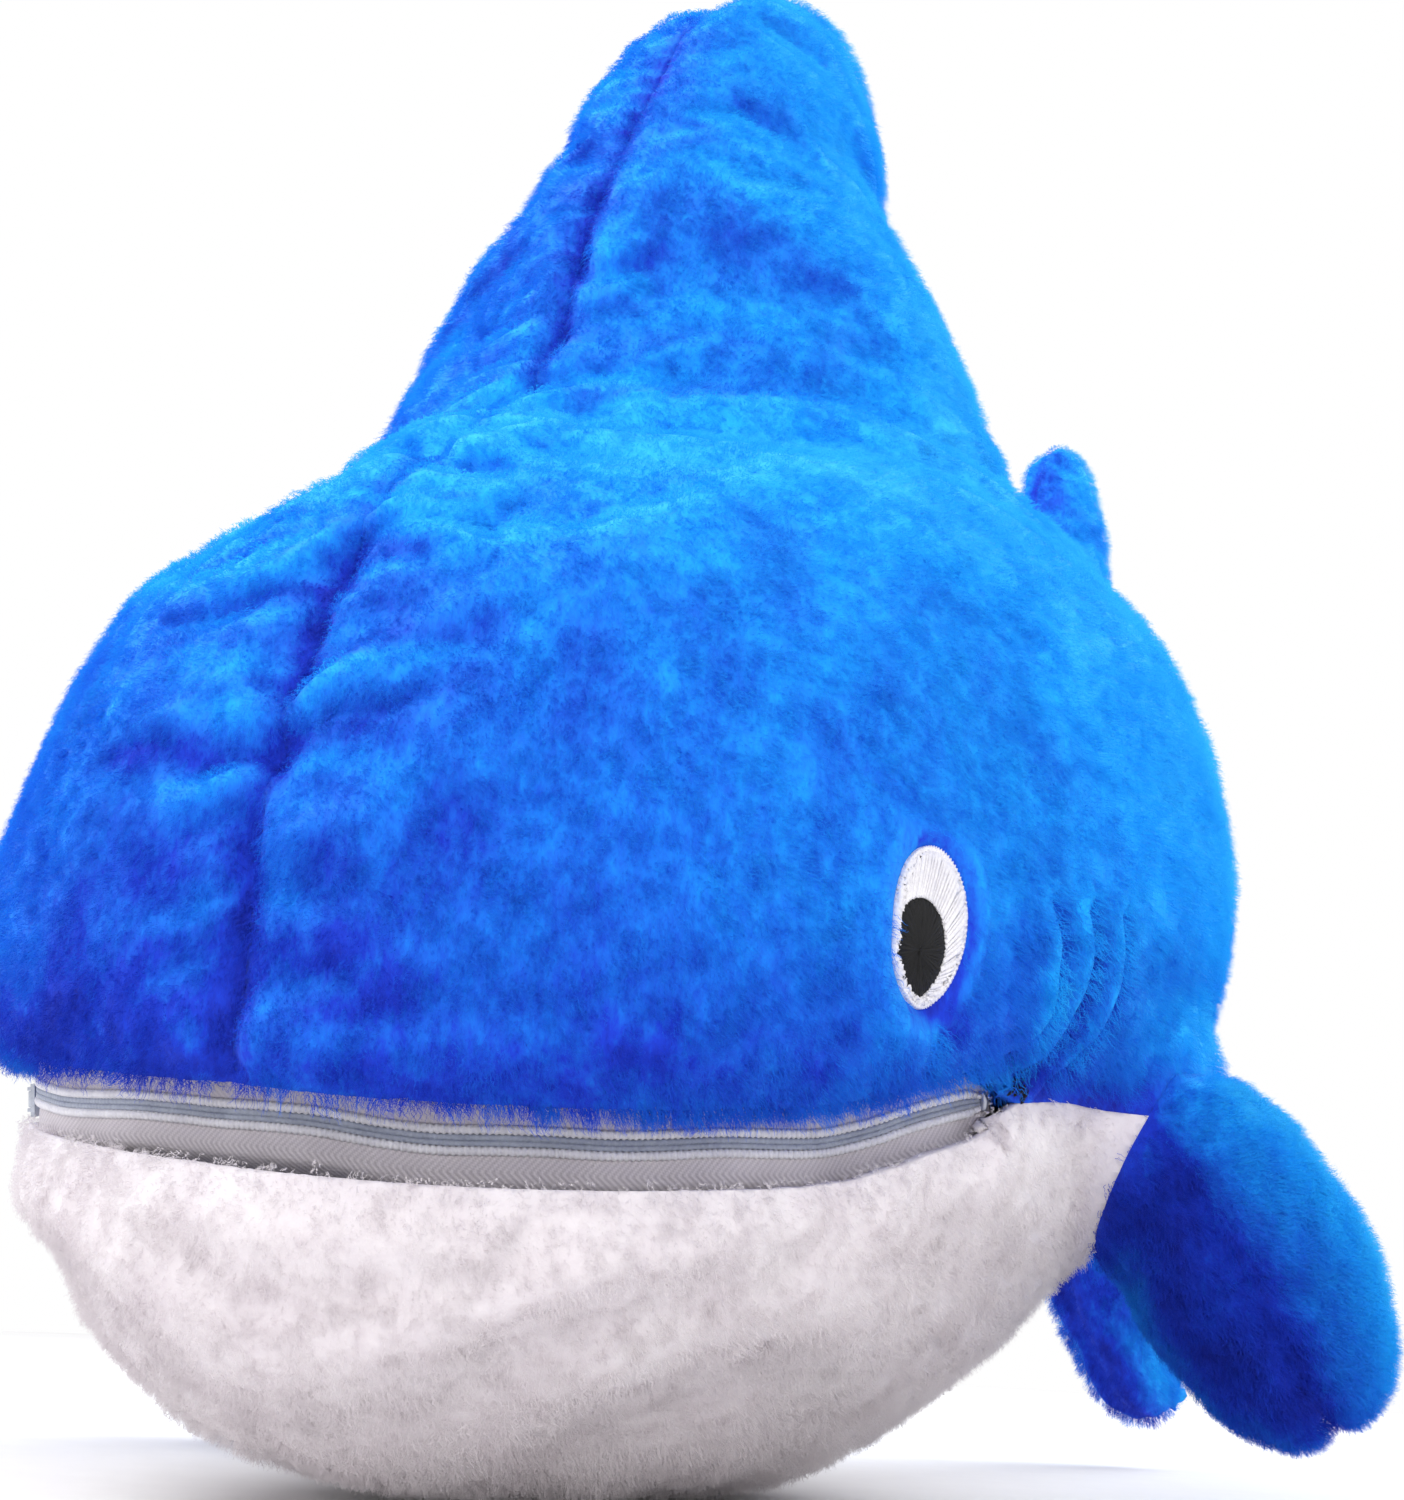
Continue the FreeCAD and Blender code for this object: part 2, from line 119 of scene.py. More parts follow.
# angle round the mouth from the nose in degrees, lift of the zip from its flat arc
SAG_ROWS = [
    (-90, 0),
    (-72, 0),
    (-62, 3),
    (-42, 7),
    (-18, 4.5),
    (0, 2),
    (18, -2.5),
    (36, -6),
    (54, -9),
    (62, -8),
    (71, -2.5),
    (78, -2),
    (90, -1),
]

PIVOTS = {joint["name"]: Vector(joint["pos_m"]) for joint in frame["joints"]}
MOUTH = Matrix.Translation(PIVOTS["zip_slide"]) @ Matrix.Rotation(math.atan(0.2), 4, "X")
ZIP_RADIUS = 0.147
ZIP_HALF = math.radians(78)
GAP_UP = 0.0085
GAP_LOW = 0.0082
SKIN_DRAWN_IN = 0.0030
FLOOR_GAP = 0.0015
SWELL_LIMIT = 0.0035
CLOTH_THICKNESS = 0.0028
# no pile grows where the bare value is above this
BARE_LIMIT = 0.5
# the mouth's lips lie ahead of this y
MOUTH_BACK = -0.05
# roundness of the body's sections above and below their widest line
ROUND_ABOVE = 2.1
ROUND_BELOW = 1.7

# direction in which the tail leaves the body
TAIL_WAY = Matrix.Rotation(math.radians(-16), 3, "Z") @ Vector((0, 1, 0))
TAIL = (
    Matrix.Translation(PIVOTS["tail_swing"])
    @ Matrix.Rotation(math.radians(-32), 4, "Z")
    @ Matrix.Rotation(math.radians(-6), 4, "Y")
)


def fin_frame(side):
    """Frame of a side fin: x out from the root line, y along it, z up out of the blade."""
    normal = Vector((0.883, 0.12, 0.469)).normalized()
    along = (Vector((0, 1, 0)) - normal * normal.y).normalized()
    out = along.cross(normal)
    axes = Matrix((out, along, normal)).transposed().to_4x4()
    place = Matrix.Translation(PIVOTS["fin_left_flap"]) @ axes
    place = Matrix.Translation((-0.007, 0, -0.002)) @ place
    return Matrix.Diagonal((side, 1, 1, 1)) @ place


FINS = {"left": fin_frame(1), "right": fin_frame(-1)}


# ---- mesh helpers ----

def mesh_object(name, verts, faces):
    mesh = bpy.data.meshes.new(name)
    mesh.from_pydata([tuple(v) for v in verts], [], faces)
    mesh.update()
    obj = bpy.data.objects.new(name, mesh)
    bpy.context.scene.collection.objects.link(obj)
    return obj


def coords(mesh):
    out = np.empty(len(mesh.vertices) * 3)
    mesh.vertices.foreach_get("co", out)
    return out.reshape(-1, 3)


def set_coords(mesh, points):
    mesh.vertices.foreach_set("co", np.ascontiguousarray(points, np.float32).ravel())
    mesh.update()


def normals(mesh):
    out = np.empty(len(mesh.vertices) * 3)
    mesh.vertices.foreach_get("normal", out)
    return out.reshape(-1, 3)


def face_outwards(obj):
    grid = bmesh.new()
    grid.from_mesh(obj.data)
    bmesh.ops.recalc_face_normals(grid, faces=grid.faces[:])
    grid.to_mesh(obj.data)
    grid.free()


def shade_smooth(obj):
    for face in obj.data.polygons:
        face.use_smooth = True
    return obj


def node_copy(node, name):
    """Copy of a CAD body's mesh as a new object."""
    obj = bpy.data.objects.new(name, frame["nodes"][node].data.copy())
    bpy.context.scene.collection.objects.link(obj)
    return obj


def apply_modifiers(obj):
    graph = bpy.context.evaluated_depsgraph_get()
    mesh = bpy.data.meshes.new_from_object(obj.evaluated_get(graph))
    obj.modifiers.clear()
    obj.data = mesh
    return obj


def smooth_step(value, low, high):
    t = np.clip((value - low) / (high - low), 0, 1)
    return t * t * (3 - 2 * t)


def bump_shape(distance, width):
    return np.exp(-((distance / width) ** 2))


def spline_rows(rows, steps):
    """Rows resampled along a smooth curve through them."""
    rows = np.array(rows, float)
    gaps = np.sqrt(np.linalg.norm(np.diff(rows, axis=0), axis=1))
    knots = np.concatenate([[0], np.cumsum(gaps)])
    slopes = np.gradient(rows, knots, axis=0)
    where = np.linspace(0, knots[-1], steps)
    at = np.clip(np.searchsorted(knots, where, side="right") - 1, 0, len(knots) - 2)
    span = (knots[at + 1] - knots[at])[:, None]
    t = (where - knots[at])[:, None] / span
    return (
        (2 * t**3 - 3 * t**2 + 1) * rows[at]
        + (t**3 - 2 * t**2 + t) * span * slopes[at]
        + (3 * t**2 - 2 * t**3) * rows[at + 1]
        + (t**3 - t**2) * span * slopes[at + 1]
    )


def tube(rings):
    """Closed solid through rings of equal count, each end fanned to its middle."""
    count = len(rings[0])
    verts = [p for ring in rings for p in ring]
    faces = []
    for row in range(len(rings) - 1):
        for k in range(count):
            a = row * count + k
            b = row * count + (k + 1) % count
            faces.append((a, b, b + count, a + count))
    for row, flip in ((0, True), (len(rings) - 1, False)):
        verts.append(np.mean(rings[row], axis=0))
        hub = len(verts) - 1
        for k in range(count):
            a = row * count + k
            b = row * count + (k + 1) % count
            faces.append((b, a, hub) if flip else (a, b, hub))
    return verts, faces


def one_mesh(name, parts):
    """One object from several closed solids, its faces turned outwards."""
    verts, faces = [], []
    for part_verts, part_faces in parts:
        base = len(verts)
        verts += part_verts
        faces += [tuple(i + base for i in face) for face in part_faces]
    obj = mesh_object(name, verts, faces)
    face_outwards(obj)
    return obj


def body_rings(steps=90, count=96):
    angle = np.linspace(0, 2 * np.pi, count, endpoint=False)
    c, s = np.cos(angle), np.sin(angle)
    power = np.where(s > 0, 2 / ROUND_ABOVE, 2 / ROUND_BELOW)
    rings = []
    for y, half, middle, top, bottom in spline_rows(BODY_ROWS, steps):
        rise = np.where(s > 0, top - middle, middle - bottom)
        x = half * np.sign(c) * np.abs(c) ** power
        z = middle + rise * np.sign(s) * np.abs(s) ** power
        rings.append(np.stack([x, np.full(count, y), z], 1) * MM)
    return rings


def blade_rings(rows, steps, count=48):
    """Teardrop sections of an upright fin, thickest a third of the way back."""
    angle = np.linspace(0, 2 * np.pi, count, endpoint=False)
    share = (1 - np.cos(angle)) / 2
    shape = np.interp(share, [0, 0.08, 0.22, 0.38, 0.62, 0.84, 1],
                      [0, 0.62, 0.93, 1.0, 0.8, 0.42, 0])
    rings = []
    for height, front, rear, half in spline_rows(rows, steps):
        x = half * shape * np.sign(np.sin(angle) + 1e-12)
        y = front + (rear - front) * share
        rings.append(np.stack([x, y, np.full(count, height)], 1) * MM)
    return rings


def fin_rings(steps=30, count=48):
    angle = np.linspace(0, 2 * np.pi, count, endpoint=False)
    rings = []
    for out, chord, thick, sweep in spline_rows(FIN_ROWS, steps):
        ring = [np.full(count, out), sweep + chord * np.cos(angle), thick * np.sin(angle)]
        rings.append(np.stack(ring, 1) * MM)
    return rings


def placed(rings, matrix):
    turn = np.array(matrix.to_3x3())
    shift = np.array(matrix.translation)
    return [ring @ turn.T + shift for ring in rings]


def local(points, matrix):
    inverse = np.array(matrix.inverted())
    return points @ inverse[:3, :3].T + inverse[:3, 3]


# ---- the whole plush as one closed skin ----

def stem_rings():
    rings = []
    rows = [(-16, 40, 30), (0, 47, 36), (20, 44, 40), (45, 38, 38), (70, 26, 30)]
    angle = np.linspace(0, 2 * np.pi, 40, endpoint=False)
    for y, half, rise in spline_rows(rows, 12):
        ring = [half * 0.8 * np.cos(angle), np.full(40, y), rise * np.sin(angle)]
        rings.append(np.stack(ring, 1) * MM)
    return rings


def whole_form():
    parts = [body_rings(), blade_rings(DORSAL_ROWS, 40), placed(stem_rings(), TAIL)]
    parts.append(placed(blade_rings(TAIL_ROWS, 50), TAIL))
    parts += [placed(fin_rings(), place) for place in FINS.values()]
    obj = one_mesh("form", [tube(rings) for rings in parts])
    remesh = obj.modifiers.new("voxels", "REMESH")
    remesh.mode = "VOXEL"
    remesh.voxel_size = 0.005
    return apply_modifiers(obj)


def relax(mesh, weight, rounds):
    """Smooths the mesh where weight is above zero."""
    edges = np.empty(len(mesh.edges) * 2, int)
    mesh.edges.foreach_get("vertices", edges)
    edges = edges.reshape(-1, 2)
    points = coords(mesh)
    count = np.bincount(edges.ravel(), minlength=len(points))[:, None]
    for _ in range(rounds):
        total = np.zeros_like(points)
        np.add.at(total, edges[:, 0], points[edges[:, 1]])
        np.add.at(total, edges[:, 1], points[edges[:, 0]])
        points += weight[:, None] * 0.5 * (total / count - points)
    set_coords(mesh, points)


def zip_sag(turn):
    """How far the soft mouth lifts or droops from its flat arc, round the mouth."""
    rows = np.array(SAG_ROWS)
    knots = np.radians(rows[:, 0])
    steps = np.linspace(knots[0], knots[-1], 181)
    drop = np.interp(steps, knots, rows[:, 1])
    drop = np.convolve(np.pad(drop, 6, mode="edge"), np.ones(13) / 13, mode="valid")
    return np.interp(turn, steps, drop) * MM


def seam_height(points):
    rows = np.array(SEAM_ROWS) * MM
    turn = mouth_turn(points)[0]
    ahead = smooth_step(-points[:, 1], 0.055, 0.085)
    return np.interp(points[:, 1], rows[:, 0], rows[:, 1]) + zip_sag(turn) * ahead


def mouth_turn(points):
    """Angle round the mouth's centre, zero at the nose, and how open the lips are there."""
    centre = PIVOTS["zip_slide"]
    turn = np.arctan2(points[:, 0], -(points[:, 1] - centre.y))
    open_share = 1 - smooth_step(np.abs(turn), ZIP_HALF * 0.935, ZIP_HALF * 1.01)
    return turn, open_share


def outside_body(points):
    """Rough distance outside the bare body, without its fins."""
    rows = np.array(BODY_ROWS) * MM
    half, middle, top, bottom = (np.interp(points[:, 1], rows[:, 0], rows[:, k])
                                 for k in (1, 2, 3, 4))
    above = points[:, 2] > middle
    rise = np.where(above, top - middle, middle - bottom)
    power = np.where(above, ROUND_ABOVE, ROUND_BELOW)
    reach = (np.abs(points[:, 0]) / half) ** power
    reach = reach + (np.abs(points[:, 2] - middle) / rise) ** power
    return (reach ** (1 / power) - 1) * half


def fields(points):
    """What each point is near: seams, lips, fins, tail."""
    found = {"side": points[:, 0]}
    found["seam"] = points[:, 2] - seam_height(points)
    turn, found["lips"] = mouth_turn(points)
    found["turn"] = turn
    away = local(points, TAIL)
    start = PIVOTS["tail_swing"] + TAIL_WAY * 0.006
    found["tail"] = (points - np.array(start)) @ np.array(TAIL_WAY)
    found["tail_rim"] = away[:, 0]
    for name, place in FINS.items():
        inside = local(points, place)
        beside = (np.abs(inside[:, 1] - 0.01) < 0.085) & (np.abs(inside[:, 2]) < 0.06)
        proud = np.minimum(outside_body(points) - 0.007, inside[:, 0] - 0.002)
        found["fin_" + name] = np.where(beside, proud, -0.05)
        found["rim_" + name] = inside[:, 2]
    return found


form = whole_form()
points = coords(form.data) - normals(form.data) * SKIN_DRAWN_IN
points[:, 2] = np.maximum(points[:, 2], FLOOR_GAP)
set_coords(form.data, points)
found = fields(points)
crease = bump_shape(np.maximum(0, np.abs(points[:, 2] - 0.292) - 0.03), 0.025)
crease *= found["tail"] < -0.02
joins = bump_shape(found["tail"], 0.03) * (points[:, 1] > 0.15)
for name in FINS:
    joins = np.maximum(joins, bump_shape(found["fin_" + name], 0.012) * 0.6)
relax(form.data, np.full(len(points), 0.35), 4)
relax(form.data, np.maximum(crease, joins * 0.6), 130)


def panel_seams(found, points):
    """Closeness to any seam, for holding the cloth there and for its furrow."""
    on_body = (found["tail"] < 0) & (found["fin_left"] < 0) & (found["fin_right"] < 0)
    upper = found["seam"] > -0.002
    middle = bump_shape(found["side"], 0.0045) * on_body * upper
    edge = bump_shape(found["seam"], 0.005) * on_body * (1 - found["lips"])
    ring = bump_shape(found["tail"], 0.005) * (points[:, 1] > 0.15)
    rim = bump_shape(found["tail_rim"], 0.004) * (found["tail"] > 0.004)
    near = np.maximum.reduce([middle, edge, ring, rim])
    for name in FINS:
        out = found["fin_" + name]
        root = bump_shape(out, 0.004) * (found["tail"] < 0)
        rim = bump_shape(found["rim_" + name], 0.0035) * (out > 0.002)
        near = np.maximum(near, np.maximum(root, rim))
    return near


def inflate(obj, found):
    """Lets the cloth swell under its filling, held along its seams and lips."""
    points = coords(obj.data)
    hold = panel_seams(found, points)
    lip = bump_shape(found["seam"], 0.012) * found["lips"]
    hold = np.maximum(hold, lip)
    hold = np.maximum(hold, points[:, 2] < 0.004)
    group = obj.vertex_groups.new(name="held")
    for index in np.nonzero(hold > 0.3)[0]:
        group.add([int(index)], float(min(1, hold[index])), "REPLACE")
    cloth = obj.modifiers.new("cloth", "CLOTH")
    settings = cloth.settings
    settings.quality = 5
    settings.mass = 0.25
    settings.tension_stiffness = 12
    settings.compression_stiffness = 12
    settings.shear_stiffness = 4
    settings.bending_stiffness = 0.4
    settings.use_pressure = True
    settings.uniform_pressure_force = 4
    settings.shrink_min = -0.035
    settings.vertex_group_mass = "held"
    settings.effector_weights.gravity = 0
    cloth.collision_settings.use_collision = False
    cloth.point_cache.frame_start = 1
    cloth.point_cache.frame_end = 20
    scene = bpy.context.scene
    for step in range(1, 21):
        scene.frame_set(step)
    swollen = bpy.data.meshes.new_from_object(
        obj.evaluated_get(bpy.context.evaluated_depsgraph_get()))
    move = coords(swollen) - points
    bpy.data.meshes.remove(swollen)
    obj.modifiers.clear()
    length = np.linalg.norm(move, axis=1, keepdims=True)
    capped = np.minimum(length, SWELL_LIMIT)
    set_coords(obj.data, points + move * capped / np.maximum(length, 1e-9))
    scene.frame_set(1)


points = coords(form.data)
found = fields(points)
inflate(form, found)
smoother = form.modifiers.new("finer", "SUBSURF")
smoother.levels = 1
smoother.render_levels = 1
apply_modifiers(form)


# ---- folds, furrows and recesses ----

EYE_CENTRE = Vector((0.131, -0.1335, 0.126))
EYE_TURN = math.radians(34)
EYE_HALF = (0.0095, 0.0165)
PUPIL_HALF = (0.0073, 0.0106)
PUPIL_SHIFT = (-0.0034, -0.0052)
# y of the gill's top, z of its top, y of its foot, z of its foot
GILLS = (
    (-0.1015, 0.1365, -0.0905, 0.0985),
    (-0.0892, 0.1368, -0.0790, 0.0990),
    (-0.0766, 0.1378, -0.0690, 0.1005),
)


def eye_centre(side):
    return Vector((side * EYE_CENTRE.x, EYE_CENTRE.y, EYE_CENTRE.z))


def cheek_axes(side):
    across = Vector((side * math.sin(EYE_TURN), math.cos(EYE_TURN), 0))
    out = Vector((side * math.cos(EYE_TURN), -math.sin(EYE_TURN), 0))
    return across, out


def gill_curve(gill, share):
    """y and z down a gill, which bows backwards and hooks forwards at its foot."""
    y0, z0, y1, z1 = gill
    bow = 0.0035 * np.sin(np.pi * share) - 0.005 * share**5
    return y0 + (y1 - y0) * share + bow, z0 + (z1 - z0) * share


def gill_distance(points, gill):
    share = np.linspace(0, 1, 40)
    y, z = gill_curve(gill, share)
    gap_y = points[:, 1, None] - y[None]
    gap_z = points[:, 2, None] - z[None]
    square = gap_y**2 + gap_z**2
    best = np.argmin(square, axis=1)
    rows = np.arange(len(points))
    behind = np.sign(gap_y[rows, best])
    return np.sqrt(square[rows, best]) * behind, share[best]


def soft_noise(points, scale, seed):
    shift = Vector((seed * 3.1, seed * 1.7, seed * 2.3))
    return np.array([noise.noise(Vector(p) / scale + shift) for p in points])


def refine(mesh):
    """Finer faces along the lips and around the eyes and gills."""
    grid = bmesh.new()
    grid.from_mesh(mesh)
    points = coords(mesh)
    found = fields(points)
    near = (np.abs(found["seam"]) < 0.019) & (found["lips"] > 0.02) & (points[:, 1] < MOUTH_BACK)
    for side in (-1, 1):
        near |= np.linalg.norm(points - np.array(eye_centre(side)), axis=1) < 0.03
    gills = (points[:, 1] > -0.115) & (points[:, 1] < -0.058)
    gills &= (points[:, 2] > 0.09) & (points[:, 2] < 0.146)
    near |= gills & (np.abs(points[:, 0]) > 0.1)
    edges = [e for e in grid.edges if near[e.verts[0].index] and near[e.verts[1].index]]
    bmesh.ops.subdivide_edges(grid, edges=edges, cuts=1, use_grid_fill=True)
    bmesh.ops.triangulate(grid, faces=[f for f in grid.faces if len(f.verts) > 4])
    grid.to_mesh(mesh)
    grid.free()
    mesh.update()


def sculpt(mesh):
    """Moves the skin along its normals: seam furrows, folds, gills and eye recesses; returns
    painted light and shade with random mottle for the colour, and where the pile is left bare.
    """
    points = coords(mesh)
    out = normals(mesh)
    found = fields(points)
    x, y, z = points.T
    head = (found["tail"] < 0) & (found["fin_left"] < 0) & (found["fin_right"] < 0)
    seams = panel_seams(found, points)
    lumps = soft_noise(points, 0.055, 1)
    ripple = soft_noise(points, 0.021, 2)
    move = 0.0022 * lumps + 0.0009 * ripple - 0.0030 * seams
    blue = smooth_step(found["seam"], 0.0, 0.03)
    # arcs across the forehead, drawn in by the middle seam
    along = 0.75 * z - 0.65 * y + 0.012 * lumps
    pull = np.exp(-np.abs(x) / 0.045) * blue * head * smooth_step(-y, 0.05, 0.11)
    pull *= smooth_step(z, 0.11, 0.15)
    fold = np.sin(along * 2 * np.pi / 0.021 + 5 * ripple)
    move += 0.0024 * pull * fold
    # folds round the foot of the upper fin
    foot = bump_shape(z - 0.272, 0.026) * head * (found["side"] ** 2 < 0.02)
    move += 0.0020 * foot * np.sin(z * 2 * np.pi / 0.024 + 6 * lumps)
    # long soft folds under the chin
    chin = smooth_step(-found["seam"], 0.014, 0.03) * smooth_step(-y, 0.03, 0.1) * head
    sweep = found["seam"] + 0.02 * lumps + 0.012 * np.cos(found["turn"] * 3)
    move += 0.0016 * chin * np.sin(sweep * 2 * np.pi / 0.034)
    # rounded lips, turned in at the zip
    front = found["lips"] * (y < MOUTH_BACK)
    up = (found["seam"] - GAP_UP * found["lips"]) / 0.011
    low = (-found["seam"] - GAP_LOW * found["lips"]) / 0.013
    for share, depth in ((up, 0.0030), (low, 0.0030)):
        tuck = np.clip(1 - share, 0, 1.6) ** 2.2
        roll = np.sin(np.pi * np.clip(share / 2.2, 0, 1)) ** 2
        move += front * (0.0013 * roll - depth * tuck * (share > -1.2))
    # puckers that run up from the upper lip
    fan = bump_shape(found["seam"] - 0.016, 0.014) * found["lips"] * (y < MOUTH_BACK)
    move += 0.0006 * fan * np.sin(found["turn"] * 46 + 5 * lumps)
    # painted shade: darker along the seams; on the forehead folds, lighter on the crests and
    # darker in the troughs
    shade = -0.9 * seams + 0.35 * pull * fold
    bare = 0.72 * seams * (found["lips"] < 0.5)
    for gill in GILLS:
        gap, share = gill_distance(points, gill)
        on_side = np.abs(x) > 0.1
        fade = (0.55 + 0.45 * np.sin(np.pi * np.clip(share * 1.1, 0, 1))) * on_side
        cut = np.where(gap > 0, bump_shape(gap, 0.0034), bump_shape(gap, 0.0014))
        lift = bump_shape(gap + 0.0034, 0.0030)
        move += fade * (0.0022 * lift - 0.0042 * cut)
        # painted highlight on the ridge in front of each gill and painted shade in its furrow
        shade = shade + fade * (0.5 * lift - 1.7 * cut)
        bare = np.maximum(bare, fade * cut * 0.75)
    for side in (-1, 1):
        across, outward = cheek_axes(side)
        step = points - np.array(eye_centre(side))
        u = step @ np.array(across) / EYE_HALF[0]
        v = step[:, 2] / EYE_HALF[1]
        close = np.abs(step @ np.array(outward)) < 0.03
        ring = np.sqrt(u**2 + v**2)
        dish = 1 - smooth_step(ring, 0.92, 1.22)
        rim = bump_shape(ring - 1.42, 0.2)
        move += close * (0.0012 * rim - 0.0026 * dish)
        bare = np.maximum(bare, close * (1 - smooth_step(ring, 1.26, 1.42)))
        # painted shadow in a ring round the edge of the sunk eye, left off towards its front
        shade = shade - 0.8 * close * bump_shape(ring - 1.12, 0.14) * (u > -0.4)
    move *= smooth_step(z, 0.001, 0.02)
    set_coords(mesh, points + out * move[:, None])
    # painted light: faces turned up and towards the back are made lighter, faces turned down and
    # towards the front darker; the noise terms add random mottle, and shade adds the painted
    # shade of furrows and folds
    light = 0.74 + 0.50 * out[:, 2] + 0.56 * out[:, 1]
    light = np.minimum(light, 0.88) + 0.08 * lumps + 0.10 * ripple + 0.36 * shade
    return np.clip(light, 0, 1), bare


def store(mesh, name, values):
    """Keeps a value per point, as a grey colour on the faces' corners."""
    layer = mesh.color_attributes.new(name, "BYTE_COLOR", "CORNER")
    index = np.empty(len(mesh.loops), int)
    mesh.loops.foreach_get("vertex_index", index)
    grey = np.repeat(values[index][:, None], 4, axis=1)
    grey[:, 3] = 1
    layer.data.foreach_set("color", grey.ravel())


refine(form.data)
tone, bare = sculpt(form.data)
surface = BVHTree.FromObject(form, bpy.context.evaluated_depsgraph_get())


# ---- cutting the skin into its panels ----

def cut_along(grid, field):
    """Adds edges to the mesh where a field over it crosses zero."""
    grid.verts.index_update()
    value = field(np.array([v.co for v in grid.verts]))
    value[np.abs(value) < 0.00015] = 0
    value = value.tolist()
    added = []
    for edge in list(grid.edges):
        a, b = edge.verts
        first, second = value[a.index], value[b.index]
        if first * second < 0:
            fresh = bmesh.utils.edge_split(edge, a, first / (first - second))[1]
            added.append(fresh)
    grid.verts.index_update()
    at_line = [v for v, known in zip(grid.verts, value) if known == 0]
    bmesh.ops.connect_verts(grid, verts=added + at_line)


def lip_edge(points, gap):
    """Height over the seam, or over the lip's edge where the mouth opens by a gap."""
    found = fields(points)
    return found["seam"] - gap * found["lips"] * (points[:, 1] < MOUTH_BACK)


def split_panels(obj, tone, bare):
    grid = bmesh.new()
    grid.from_mesh(obj.data)
    kept = grid.verts.layers.float.new("tone")
    naked = grid.verts.layers.float.new("bare")
    for v, shade, skin in zip(grid.verts, tone, bare):
        v[kept] = shade
        v[naked] = skin
    for gap in (GAP_UP, -GAP_LOW):
        cut_along(grid, lambda p, gap=gap: lip_edge(p, gap))
    for key in ("side", "tail", "fin_left", "fin_right"):
        cut_along(grid, lambda p, key=key: fields(p)[key])
    grid.faces.index_update()
    middles = np.array([f.calc_center_median() for f in grid.faces])
    found = fields(middles)
    region = np.where(found["side"] > 0, "skin_left", "skin_right").astype(object)
    region[lip_edge(middles, GAP_UP) < 0] = "slot"
    region[lip_edge(middles, -GAP_LOW) < 0] = "belly_skin"
    region[found["tail"] > 0] = "tail_skin"
    region[found["fin_left"] > 0] = "fin_skin_left"
    region[found["fin_right"] > 0] = "fin_skin_right"
    made = {}
    for name in sorted(set(region) - {"slot"}):
        verts, faces, shading_and_mottle, skins = [], [], [], []
        number = {}
        for face in grid.faces:
            if region[face.index] != name:
                continue
            corner = []
            for v in face.verts:
                if v.index not in number:
                    number[v.index] = len(verts)
                    verts.append(tuple(v.co))
                    shading_and_mottle.append(v[kept])
                    skins.append(v[naked])
                corner.append(number[v.index])
            faces.append(corner)
        made[name] = (mesh_object(name, verts, faces), np.array(shading_and_mottle), np.array(skins))
    grid.free()
    return made


panels = split_panels(form, tone, bare)
bpy.data.objects.remove(form)


def thicken(obj, shading_and_mottle, skins, thick):
    """Gives a panel its cloth thickness inwards and marks where its pile grows."""
    outer = len(obj.data.vertices)
    solid = obj.modifiers.new("cloth_thickness", "SOLIDIFY")
    solid.thickness = thick
    solid.offset = -1
    apply_modifiers(obj)
    mesh = obj.data
    # painted light and shade, with random mottle, kept per point for the plush colour
    store(mesh, "tone", np.tile(shading_and_mottle, len(mesh.vertices) // outer))
    group = obj.vertex_groups.new(name="pile")
    for index in np.nonzero(skins < BARE_LIMIT)[0]:
        group.add([int(index)], 1.0, "REPLACE")
    shade_smooth(obj)


# ---- materials ----

def linear(red, green, blue):
    found = []
    for value in (red, green, blue):
        value /= 255
        found.append(value / 12.92 if value < 0.04045 else ((value + 0.055) / 1.055) ** 2.4)
    return (*found, 1)


